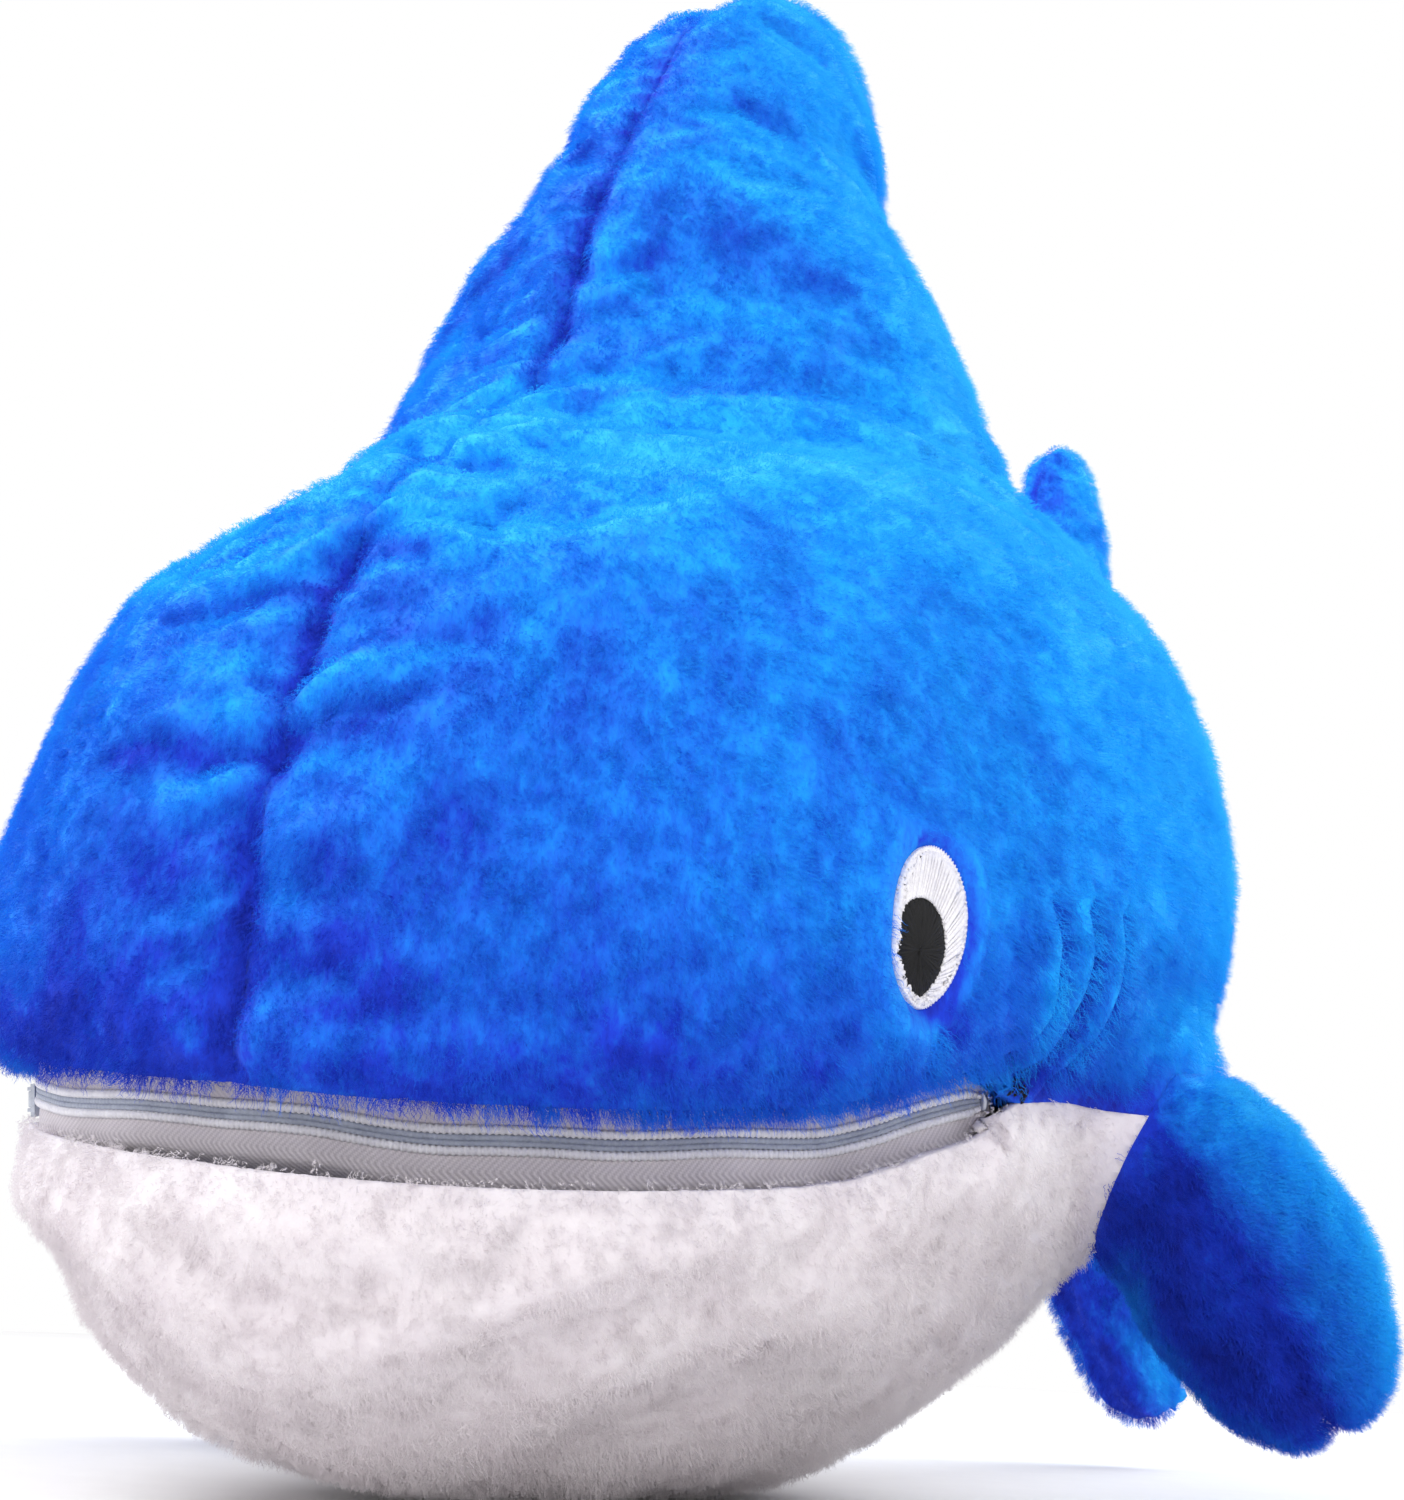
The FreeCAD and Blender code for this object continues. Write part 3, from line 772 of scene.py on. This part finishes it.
def cloth_material(name, stops, scale, stretch=(1, 1, 1), bump=0.4, rough=0.9, sheen=0.3,
                   tint=(255, 255, 255), attribute=None, mottle=0.35, metal=0.0):
    """Mottled material: colour stops run along noise, or along a stored value with noise."""
    mat = bpy.data.materials.new(name)
    mat.use_nodes = True
    tree = mat.node_tree
    new, link = tree.nodes.new, tree.links.new

    def add(kind, **values):
        made = new(kind)
        for key, value in values.items():
            made.inputs[key.replace("_", " ")].default_value = value
        return made

    shader = tree.nodes["Principled BSDF"]
    shader.inputs["Roughness"].default_value = rough
    shader.inputs["Sheen Weight"].default_value = sheen
    shader.inputs["Sheen Roughness"].default_value = 0.45
    shader.inputs["Sheen Tint"].default_value = linear(*tint)
    shader.inputs["Metallic"].default_value = metal
    place = new("ShaderNodeTexCoord")
    mapping = add("ShaderNodeMapping", Scale=stretch)
    link(place.outputs["Object"], mapping.inputs["Vector"])
    coarse = add("ShaderNodeTexNoise", Scale=scale / 7, Detail=3)
    fine = add("ShaderNodeTexNoise", Scale=scale, Detail=5, Roughness=0.7)
    link(mapping.outputs["Vector"], coarse.inputs["Vector"])
    link(mapping.outputs["Vector"], fine.inputs["Vector"])
    blend = add("ShaderNodeMix", Factor=0.55)
    link(coarse.outputs["Fac"], blend.inputs["A"])
    link(fine.outputs["Fac"], blend.inputs["B"])
    spread = add("ShaderNodeMapRange", From_Min=0.3, From_Max=0.7)
    link(blend.outputs["Result"], spread.inputs["Value"])
    value = spread.outputs["Result"]
    if attribute is not None:
        kept = new("ShaderNodeAttribute")
        kept.attribute_name = attribute
        both = add("ShaderNodeMix", Factor=mottle)
        link(kept.outputs["Fac"], both.inputs["A"])
        link(value, both.inputs["B"])
        value = both.outputs["Result"]
    ramp = new("ShaderNodeValToRGB")
    elements = ramp.color_ramp.elements
    while len(elements) < len(stops):
        elements.new(0.5)
    for element, (position, colour) in zip(elements, stops):
        element.position = position
        element.color = linear(*colour)
    link(value, ramp.inputs["Fac"])
    link(ramp.outputs["Color"], shader.inputs["Base Color"])
    relief = add("ShaderNodeBump", Strength=bump, Distance=0.001)
    link(fine.outputs["Fac"], relief.inputs["Height"])
    link(relief.outputs["Normal"], shader.inputs["Normal"])
    return mat


# the stored painted light runs this ramp from deep blue as painted shade to pale azure as
# painted highlight, with random mottle mixed in
BLUE = cloth_material(
    "blue_plush_pile",
    [(0.0, (1, 12, 150)), (0.2, (2, 56, 206)), (0.4, (2, 122, 234)), (0.64, (4, 176, 253)),
     (1.0, (70, 218, 255))],
    420, stretch=(1, 1, 0.45), bump=0.7, sheen=0.1, tint=(0, 130, 255), attribute="tone",
    mottle=0.3)
# the stored painted light runs this ramp from greyer white as painted shade to bright white,
# with random mottle mixed in
WHITE = cloth_material(
    "white_plush_pile",
    [(0.0, (220, 211, 216)), (0.5, (236, 231, 233)), (1.0, (247, 244, 244))],
    380, bump=0.4, sheen=0.25, tint=(255, 246, 250), attribute="tone", mottle=0.4)
FIBRE = cloth_material(
    "fibre_filling", [(0.0, (205, 205, 200)), (1.0, (245, 245, 242))], 160, bump=0.9)
LINING = cloth_material(
    "lining_weave", [(0.0, (30, 32, 60)), (1.0, (62, 66, 110))], 900, stretch=(1, 1, 0.3),
    bump=0.5)
TAPE = cloth_material(
    "zip_tape_weave", [(0.0, (176, 168, 176)), (0.5, (206, 199, 205)), (1.0, (232, 226, 230))],
    1500, bump=0.5, rough=0.8, sheen=0.15, attribute="weave", mottle=0.25)
RIB = cloth_material(
    "zip_rib_thread", [(0.0, (206, 204, 212)), (1.0, (246, 244, 248))], 1300, bump=0.4,
    rough=0.6)
CHAIN = cloth_material(
    "zip_chain_nylon", [(0.0, (132, 138, 156)), (1.0, (176, 182, 196))], 900, bump=0.25,
    rough=0.42, sheen=0.0)
METAL = cloth_material(
    "zip_painted_metal", [(0.0, (150, 154, 166)), (1.0, (205, 208, 216))], 700, bump=0.15,
    rough=0.33, sheen=0.0, metal=0.8)
EYE_WHITE = cloth_material(
    "white_satin_thread", [(0.0, (214, 212, 220)), (1.0, (252, 250, 252))], 1600, bump=0.4,
    rough=0.5)
EYE_BLACK = cloth_material(
    "black_satin_thread", [(0.0, (3, 3, 4)), (1.0, (16, 16, 20))], 1600, bump=0.3, rough=0.8,
    sheen=0.0)
DARK_BLUE = cloth_material(
    "dark_blue_thread", [(0.0, (2, 8, 90)), (1.0, (6, 40, 150))], 1500, bump=0.4,
    sheen=0.0)
BLACK = cloth_material(
    "black_thread", [(0.0, (5, 5, 8)), (1.0, (26, 26, 32))], 1500, bump=0.4,
    sheen=0.0)
FLOOR = cloth_material(
    "pale_floor", [(0.0, (234, 233, 234)), (1.0, (240, 239, 240))], 60, bump=0.05, sheen=0.0)


def dress(obj, mat):
    obj.data.materials.clear()
    obj.data.materials.append(mat)


# ---- skins ----

REPLACED = {
    "skin_left": ("side_panel_left",),
    "skin_right": ("side_panel_right",),
    "belly_skin": ("belly_panel", "chin_panel"),
    "tail_skin": ("tail_panel_left", "tail_panel_right"),
    "fin_skin_left": ("fin_panel_upper_left", "fin_panel_lower_left"),
    "fin_skin_right": ("fin_panel_upper_right", "fin_panel_lower_right"),
}


def finish_skins():
    for name, (obj, shading_and_mottle, skins) in panels.items():
        thicken(obj, shading_and_mottle, skins, CLOTH_THICKNESS)
        if name == "belly_skin":
            dress(obj, WHITE)
        else:
            dress(obj, BLUE)
        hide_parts(*REPLACED[name])
    for name in ("skin_left", "skin_right"):
        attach(panels[name][0], "torso")
    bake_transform(panels["belly_skin"][0])
    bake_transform(panels["tail_skin"][0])
    for side, place in FINS.items():
        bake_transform(panels["fin_skin_" + side][0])


finish_skins()


# ---- zip ----

def skin_radius(turn):
    """Distance from the mouth's centre to the skin, in the mouth's plane."""
    centre = MOUTH.translation
    found = []
    for angle in turn:
        way = MOUTH.to_3x3() @ Vector((math.sin(angle), -math.cos(angle), 0))
        hit = surface.ray_cast(centre + way * 0.3, -way)[0]
        found.append((hit - centre).length if hit is not None else ZIP_RADIUS + 0.003)
    found = np.array(found)
    smooth = np.ones(41) / 41
    padded_ends = np.pad(found, 20, mode="edge")
    return np.convolve(padded_ends, smooth, mode="valid")


ZIP_TURN = np.linspace(-ZIP_HALF, ZIP_HALF, 1600)
ZIP_SKIN = skin_radius(ZIP_TURN[::8])
ZIP_BASE = np.interp(ZIP_TURN, ZIP_TURN[::8], ZIP_SKIN) - 0.0022
ZIP_WAVE = (
    0.0006 * np.sin(ZIP_TURN * 9 + 0.6)
    + 0.0004 * np.sin(ZIP_TURN * 21 + 2.0)
    + 0.0002 * np.sin(ZIP_TURN * 47)
)
ZIP_LIFT = 0.0005 * np.sin(ZIP_TURN * 7 + 2.2) + 0.0003 * np.sin(ZIP_TURN * 17 + 0.4)
ZIP_LIFT = ZIP_LIFT + zip_sag(ZIP_TURN)
ZIP_PINCH = 1 - 0.7 * smooth_step(np.abs(ZIP_TURN), ZIP_HALF * 0.955, ZIP_HALF)
COIL_PITCH = 1.55 * MM
ZIP_ALONG = ZIP_TURN * ZIP_RADIUS


def zip_strip(name, section, every=1):
    """Closed strip along the zip; section holds its corners' outward and upward offsets."""
    out, up = section
    turn = ZIP_TURN[::every]
    out = out[::every] + (ZIP_BASE + ZIP_WAVE)[::every, None]
    up = up[::every] * ZIP_PINCH[::every, None] + ZIP_LIFT[::every, None]
    x = out * np.sin(turn)[:, None]
    y = -out * np.cos(turn)[:, None]
    flat = np.stack([x, y, up], -1)
    return shade_smooth(one_mesh(name, [tube(placed([flat], MOUTH)[0])]))


def make_tape(sign):
    """Cloth band from the coil to behind the lip, bowed out a little in the middle."""
    reach = 0.0125 if sign > 0 else 0.0155
    across = np.linspace(0.0006, reach, 38)
    share = (across - across[0]) / (across[-1] - across[0])
    bow = 0.0007 * np.sin(np.pi * share) - 0.0052 * smooth_step(share, 0.5, 1)
    count = len(ZIP_TURN)
    ripple = np.sin(ZIP_TURN[:, None] * 33 + share[None] * 2) * 0.00025 * share[None]
    face = bow[None] + ripple
    back = face - 0.0009
    up = np.repeat(across[None], count, 0) * sign
    out = np.concatenate([face, back[:, ::-1]], 1)
    high = np.concatenate([up, up[:, ::-1]], 1)
    obj = zip_strip("tape_upper" if sign > 0 else "tape_lower", (out, high), every=2)
    ring = np.concatenate([across, across[::-1]])
    chevron = np.abs(ring - 0.0065) * 1.2
    lines = (ZIP_ALONG[::2, None] - chevron[None]) / 0.0018
    weave = np.append((0.5 + 0.5 * np.cos(lines * 2 * np.pi)).ravel(), [0.5, 0.5])
    # the upper tape's weave value is scaled down: painted shade under the overhanging upper lip
    store(obj.data, "weave", weave * (0.6 if sign > 0 else 1.0))
    return obj


def make_ridge(sign):
    """Ribbed roll where the coil is sewn to its tape."""
    angle = np.linspace(0, 2 * np.pi, 12, endpoint=False)
    rib = 0.5 - 0.5 * np.cos(ZIP_ALONG * 2 * np.pi / COIL_PITCH + sign)
    radius = (0.00078 + 0.00034 * rib)[:, None]
    out = 0.0007 + radius * np.cos(angle)[None] * 0.85
    up = sign * 0.0022 + radius * np.sin(angle)[None]
    return zip_strip("coil_ridge_" + ("upper" if sign > 0 else "lower"), (out, up))


def make_chain(sign):
    """Half of the closed chain: fine teeth that meet along the middle."""
    angle = np.linspace(0, 2 * np.pi, 14, endpoint=False)
    tooth = 0.5 + 0.5 * np.cos(ZIP_ALONG * 2 * np.pi / COIL_PITCH + (0 if sign > 0 else np.pi))
    tooth = tooth[:, None]
    out = 0.0004 + (0.0007 + 0.00016 * tooth) * np.cos(angle)[None]
    half = 0.00062 + 0.00008 * tooth
    up = sign * 0.00058 + half * np.sign(np.sin(angle)) * np.abs(np.sin(angle))[None] ** 0.6
    return zip_strip("coil_chain_" + ("upper" if sign > 0 else "lower"), (out, up))


for sign, level, body in ((1, "upper", "torso"), (-1, "lower", "jaw")):
    tape = make_tape(sign)
    dress(tape, TAPE)
    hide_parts("zip_tape_" + level)
    ridge = make_ridge(sign)
    dress(ridge, RIB)
    chain = make_chain(sign)
    dress(chain, CHAIN)
    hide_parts("zip_coil_" + level)
    for piece in (tape, ridge, chain):
        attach(piece, body)


def softened_copy(node, name, edge):
    """Copy of a small hard node with its edges rounded."""
    obj = node_copy(node, name)
    grid = bmesh.new()
    grid.from_mesh(obj.data)
    bmesh.ops.remove_doubles(grid, verts=grid.verts[:], dist=1e-6)
    bmesh.ops.dissolve_limit(grid, angle_limit=0.03, verts=grid.verts[:], edges=grid.edges[:])
    grid.to_mesh(obj.data)
    grid.free()
    bevel = obj.modifiers.new("rounded", "BEVEL")
    bevel.width = edge
    bevel.segments = 3
    bevel.limit_method = "ANGLE"
    bevel.angle_limit = math.radians(40)
    apply_modifiers(obj)
    return shade_smooth(obj)


for node, name, edge, body in (
    ("zip_slider", "slider_body", 0.00035, "slider"),
    ("zip_pull", "pull_tab", 0.00035, "pull"),
):
    piece = softened_copy(node, name, edge)
    dress(piece, METAL)
    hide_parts(node)
    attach(piece, body)


# ---- embroidery ----

def on_cheek(side, across_steps, up_steps, height):
    """Points over the cheek, given across it and up it from the eye's centre."""
    across, out = cheek_axes(side)
    centre = eye_centre(side)
    found = []
    for a, b, h in zip(across_steps.ravel(), up_steps.ravel(), height.ravel()):
        start = centre + across * float(a) + Vector((0, 0, float(b))) + out * 0.05
        hit, normal = surface.ray_cast(start, -out)[:2]
        if hit is None:
            hit, normal = start - out * 0.05, out
        found.append(hit + normal * float(h))
    return [tuple(p) for p in found]


def disc_faces(rings, spokes, side):
    faces = []
    for r in range(rings - 1):
        for s in range(spokes):
            a = r * spokes + s
            b = r * spokes + (s + 1) % spokes
            faces.append((a, b, b + spokes, a + spokes) if side > 0
                         else (a, a + spokes, b + spokes, b))
    return faces


def thread_noise(count, seed):
    return np.random.default_rng(seed).uniform(-1, 1, count)


def satin_piece(name, side, inner, outer, rings, dome, seed):
    """Satin stitches laid from an inner outline to an outer one, with a rolled edge."""
    spokes = len(inner)
    share = np.linspace(0, 1, rings)[:, None, None]
    flat = inner[None] * (1 - share) + outer[None] * share
    count = spokes // 3
    strand = np.repeat(thread_noise(count, seed), 3)
    ridge = np.tile([0.0, 1.0, 0.55], count)[None]
    edge = np.linspace(0, 1, rings)[:, None]
    lift = dome * (1 - edge**5) + 0.00022 * ridge * (1 - edge**8) + 0.00012 * strand[None]
    lift = lift + 0.0009
    lift[-1] = -0.0004
    points = on_cheek(side, flat[..., 0], flat[..., 1], lift)
    obj = mesh_object(name, points, disc_faces(rings, spokes, side))
    solid = obj.modifiers.new("thread_depth", "SOLIDIFY")
    solid.thickness = 0.0008
    solid.offset = -1
    apply_modifiers(obj)
    return shade_smooth(obj)


def oval(half, shift, spokes, jitter=None):
    angle = np.linspace(0, 2 * np.pi, spokes, endpoint=False)
    grow = 1 if jitter is None else 1 + jitter
    return np.stack([shift[0] + half[0] * np.cos(angle) * grow,
                     shift[1] + half[1] * np.sin(angle) * grow], 1)


def inside_eye(points, limit):
    size = np.linalg.norm(points / np.array(EYE_HALF), axis=1, keepdims=True)
    return points * np.minimum(1, limit / np.maximum(size, 1e-6))


def make_eye(side, label):
    spokes = 216
    ragged = np.repeat(thread_noise(spokes // 3, 5), 3) * 0.035
    pupil = inside_eye(oval(PUPIL_HALF, PUPIL_SHIFT, spokes, ragged), 0.95)
    under = inside_eye(oval(PUPIL_HALF, PUPIL_SHIFT, spokes), 0.93) * 0.97
    rim = oval(EYE_HALF, (0, 0), spokes)
    white = satin_piece("eye_satin_" + label, side, under, rim, 12, 0.0004, 11)
    centre = np.repeat(np.array([PUPIL_SHIFT]), spokes, 0)
    hub = centre + (pupil - centre) * 0.03
    black = satin_piece("pupil_satin_" + label, side, hub, pupil, 12, 0.0009, 12)
    ring = np.linspace(0, 2 * np.pi, 8, endpoint=False)
    fine = 3
    angle = np.linspace(0, 2 * np.pi, spokes * fine, endpoint=False)
    rope = 0.00052 + 0.0001 * np.sin(angle * 90)
    grow = 1 + np.outer(rope, np.cos(ring)) / EYE_HALF[0]
    across = EYE_HALF[0] * np.cos(angle)[:, None] * grow
    up = EYE_HALF[1] * np.sin(angle)[:, None] * grow
    high = 0.0008 + np.outer(rope, np.sin(ring))
    points = on_cheek(side, across, up, high)
    faces = []
    total = spokes * fine
    for r in range(total):
        for k in range(8):
            a = r * 8 + k
            b = r * 8 + (k + 1) % 8
            c = ((r + 1) % total) * 8
            faces.append((a, c + k, c + (k + 1) % 8, b) if side > 0
                         else (a, b, c + (k + 1) % 8, c + k))
    outline = shade_smooth(mesh_object("eye_rim_" + label, points, faces))
    dress(white, EYE_WHITE)
    dress(outline, EYE_WHITE)
    dress(black, EYE_BLACK)
    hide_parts("eye_white_" + label)
    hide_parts("eye_pupil_" + label)
    for piece in (white, outline, black):
        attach(piece, "torso")


def thread_tube(path, radius, twist, sides=8):
    """Closed rope along a path, its section turned and lobed like plied thread."""
    path = np.array(path)
    along = np.gradient(path, axis=0)
    along /= np.linalg.norm(along, axis=1, keepdims=True)
    ups = np.cross(along, np.array([0.31, 0.52, 0.79]))
    ups /= np.linalg.norm(ups, axis=1, keepdims=True)
    rights = np.cross(along, ups)
    angle = np.linspace(0, 2 * np.pi, sides, endpoint=False)
    rings = []
    for index, point in enumerate(path):
        size = radius * (1 + 0.18 * np.cos(2 * angle + twist * index))
        size = size * (0.35 if index in (0, len(path) - 1) else 1)
        rings.append(point + np.outer(np.cos(angle) * size, ups[index])
                     + np.outer(np.sin(angle) * size, rights[index]))
    return tube(rings)


def on_side(side, y, z, depth):
    """Point on the shark's side at a given length and height, sunk by depth."""
    hit, normal = surface.ray_cast(Vector((side * 0.3, y, z)), Vector((-side, 0, 0)))[:2]
    return hit - normal * depth


def make_end_stops():
    """Crimped metal clip across the chain at each end of the zip."""
    parts = []
    for index in (14, len(ZIP_TURN) - 15):
        turn = ZIP_TURN[index]
        out = ZIP_BASE[index] + ZIP_WAVE[index] + 0.0012
        share = np.linspace(-1, 1, 16)
        bulge = out + 0.0005 * (1 - share**2)
        flat = np.stack([bulge * np.sin(turn), -bulge * np.cos(turn),
                         ZIP_LIFT[index] + share * 0.0022], 1)
        parts.append(thread_tube(placed([flat], MOUTH)[0], 0.00085, 0.0, 10))
    obj = shade_smooth(one_mesh("end_stops", parts))
    dress(obj, METAL)
    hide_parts("zip_end_stops")
    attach(obj, "torso")


make_end_stops()


def make_gills(side, label):
    parts = []
    for gill in GILLS:
        share = np.linspace(0.03, 0.97, 70)
        y, z = gill_curve(gill, share)
        path = [on_side(side, a + 0.0006, b, 0.0002) for a, b in zip(y, z)]
        parts.append(thread_tube(path, 0.00055, 0.9))
    obj = shade_smooth(one_mesh("gill_thread_" + label, parts))
    dress(obj, DARK_BLUE)
    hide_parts("gill_stitches_" + label)
    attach(obj, "torso")


LOOSE_ENDS = 9


def make_tack(side, label):
    """Knot of black thread with loose ends at the corner of the mouth."""
    rng = np.random.default_rng(21 if side > 0 else 22)
    centre = on_side(side, -0.0815, 0.0985, 0.0)
    parts = []
    for _ in range(LOOSE_ENDS):
        start = centre + Vector(rng.uniform(-0.0012, 0.0012, 3))
        reach = Vector((side * rng.uniform(0.5, 1.6), rng.uniform(-3.4, 3.0),
                        rng.uniform(-3.6, 1.6))) * MM
        lift = Vector((side * 0.0016, 0, 0.0006))
        share = np.linspace(0, 1, 14)
        path = [start + reach * float(t) + lift * float(math.sin(math.pi * t)) for t in share]
        parts.append(thread_tube(path, 0.00034, 1.1, 6))
    obj = shade_smooth(one_mesh("corner_knot_" + label, parts))
    dress(obj, BLACK)
    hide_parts("mouth_tack_" + label)
    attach(obj, "torso")


for side, label in ((1, "left"), (-1, "right")):
    make_eye(side, label)
    make_gills(side, label)
    make_tack(side, label)


# ---- filling and lining ----

def remade(node, name, voxel, inwards, rough, seed):
    """Closed soft copy of a node with a lumpy surface drawn slightly inwards."""
    obj = node_copy(node, name)
    obj.data.materials.clear()
    solid = obj.modifiers.new("voxels", "REMESH")
    solid.mode = "VOXEL"
    solid.voxel_size = voxel
    apply_modifiers(obj)
    points = coords(obj.data)
    lumps = soft_noise(points, rough, seed)
    set_coords(obj.data, points + normals(obj.data) * (lumps * 0.0008 - inwards)[:, None])
    return shade_smooth(obj)


FILLING = (
    ("body_stuffing", "body_fibre", "torso"),
    ("head_stuffing", "head_fibre", "torso"),
    ("dorsal_stuffing", "dorsal_fibre", "torso"),
    ("jaw_stuffing", "jaw_fibre", "jaw"),
    ("tail_stuffing", "tail_fibre", "tail"),
    ("fin_stuffing_left", "fin_fibre_left", "fin_left"),
    ("fin_stuffing_right", "fin_fibre_right", "fin_right"),
)
for seed, (node, name, body) in enumerate(FILLING):
    core = remade(node, name, 0.006, 0.016 if "dorsal" in node else 0.009, 0.02, 30 + seed)
    shrink = 0.86 if "fin" in node else 0.975
    points = coords(core.data)
    middle = points.mean(axis=0)
    set_coords(core.data, middle + (points - middle) * shrink)
    if node == "dorsal_stuffing":
        points = coords(core.data)
        points[:, 0] *= 1 - 0.45 * smooth_step(points[:, 2], 0.29, 0.38)
        set_coords(core.data, points)
    dress(core, FIBRE)
    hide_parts(node)
    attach(core, body)

for node, name, body in (("pocket_lining_upper", "lining_roof", "torso"),
                         ("pocket_lining_lower", "lining_floor", "jaw")):
    cloth = remade(node, name, 0.0009, 0.0, 0.012, 50)
    points = coords(cloth.data)
    centre = MOUTH.translation
    out = np.hypot(points[:, 0], points[:, 1] - centre.y) / ZIP_RADIUS
    points[:, 2] += zip_sag(mouth_turn(points)[0]) * out**2
    points[:, 0] *= 0.95
    points[:, 1] = centre.y + (points[:, 1] - centre.y) * 0.95
    set_coords(cloth.data, points)
    dress(cloth, LINING)
    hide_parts(node)
    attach(cloth, body)


# ---- pile ----

def grow_pile(obj, number, length, comb, radius, seed, spread):
    """Seeded hair over the outer face of a panel, combed along a direction."""
    system = obj.modifiers.new("pile", "PARTICLE_SYSTEM").particle_system
    system.seed = seed
    system.vertex_group_density = "pile"
    pile = system.settings
    pile.type = "HAIR"
    pile.use_advanced_hair = True
    pile.count = number
    pile.hair_step = 3
    pile.emit_from = "FACE"
    pile.use_modifier_stack = False
    pile.distribution = "RAND"
    pile.use_emit_random = True
    pile.hair_length = length
    pile.normal_factor = length * 0.16
    pile.object_align_factor = [c * length * 0.14 for c in comb]
    pile.factor_random = length * 0.05
    pile.child_type = "SIMPLE"
    pile.rendered_child_count = 7
    pile.child_percent = 0
    pile.child_radius = spread
    pile.child_roundness = 0.6
    pile.clump_factor = 0.35
    pile.clump_shape = 0.1
    pile.roughness_1 = 0.0012
    pile.roughness_1_size = 0.01
    pile.roughness_endpoint = 0.0008
    pile.render_step = 3
    pile.radius_scale = 1.0
    pile.root_radius = radius
    pile.tip_radius = radius * 0.25
    pile.material_slot = obj.data.materials[0].name

# panel, count of strands, their length, comb, root radius, seed
PILE = (
    ("skin_left", 42000, 0.0046, (0.15, 0.45, -0.7), 0.00012, 1),
    ("skin_right", 42000, 0.0046, (-0.15, 0.45, -0.7), 0.00012, 2),
    ("belly_skin", 26000, 0.0030, (0, 0.5, -0.6), 0.00011, 3),
    ("tail_skin", 16000, 0.0046, (0, 0.6, -0.5), 0.00012, 4),
    ("fin_skin_left", 10000, 0.0044, (0.7, 0.3, -0.4), 0.00012, 5),
    ("fin_skin_right", 10000, 0.0044, (-0.7, 0.3, -0.4), 0.00012, 6),
)
for name, number, length, comb, radius, seed in PILE:
    grow_pile(panels[name][0], number, length, comb, radius, seed, 0.0028)


# ---- floor, light and camera ----

def make_floor():
    size, steps = 3.2, 40
    verts, faces = [], []
    for row in range(steps + 1):
        for column in range(steps + 1):
            x = size * (column / steps - 0.5)
            y = size * (row / steps - 0.5)
            verts.append((x, y, -0.0006 + 0.0004 * math.sin(x * 7) * math.sin(y * 5)))
    for row in range(steps):
        for column in range(steps):
            a = row * (steps + 1) + column
            faces.append((a, a + 1, a + steps + 2, a + steps + 1))
    floor = mesh_object("floor", verts, faces)
    floor.data.materials.append(FLOOR)


def area_light(name, place, aim, size, power, colour):
    lamp = bpy.data.lights.new(name, "AREA")
    lamp.shape = "RECTANGLE"
    lamp.size, lamp.size_y = size
    lamp.energy = power
    lamp.color = colour
    obj = bpy.data.objects.new(name, lamp)
    bpy.context.scene.collection.objects.link(obj)
    obj.location = place
    obj.rotation_mode = "QUATERNION"
    obj.rotation_quaternion = (Vector(aim) - Vector(place)).to_track_quat("-Z", "Y")


def make_camera():
    """Low, close view from the front of the shark's left side, tilted up and rolled."""
    turn, pitch, roll = math.radians(27), math.radians(15.8), math.radians(3)
    right = Vector((math.cos(turn), math.sin(turn), 0))
    ahead = Vector((-math.sin(turn), math.cos(turn), 0))
    look = ahead * math.cos(pitch) + Vector((0, 0, math.sin(pitch)))
    up = Vector((0, 0, math.cos(pitch))) - ahead * math.sin(pitch)
    place = -0.60 * ahead + 0.006 * right + Vector((0, 0, 0.042))
    tilted_right = right * math.cos(roll) + up * math.sin(roll)
    tilted_up = up * math.cos(roll) - right * math.sin(roll)
    data = bpy.data.cameras.new("photo_camera")
    data.lens = 49.2
    data.sensor_width = 36
    data.clip_start = 0.02
    camera = bpy.data.objects.new("photo_camera", data)
    bpy.context.scene.collection.objects.link(camera)
    axes = Matrix((tilted_right, tilted_up, -look)).transposed().to_4x4()
    camera.matrix_world = Matrix.Translation(place) @ axes
    bpy.context.scene.camera = camera


def make_world():
    world = bpy.data.worlds.new("soft_room")
    world.use_nodes = True
    back = world.node_tree.nodes["Background"]
    back.inputs["Color"].default_value = (1.0, 1.0, 1.0, 1)
    back.inputs["Strength"].default_value = 1.0
    bpy.context.scene.world = world


make_floor()
make_world()
area_light("window", (-0.9, -0.5, 1.3), (0, 0, 0.2), (1.1, 0.9), 14, (0.95, 0.98, 1.0))
area_light("behind", (0.5, 1.1, 1.1), (0, 0, 0.25), (1.2, 0.7), 12, (0.95, 0.98, 1.0))
area_light("front", (0.7, -1.3, 0.5), (0, 0, 0.15), (0.9, 0.7), 5, (1.0, 0.97, 0.95))
make_camera()
bpy.context.scene.view_settings.view_transform = "Standard"
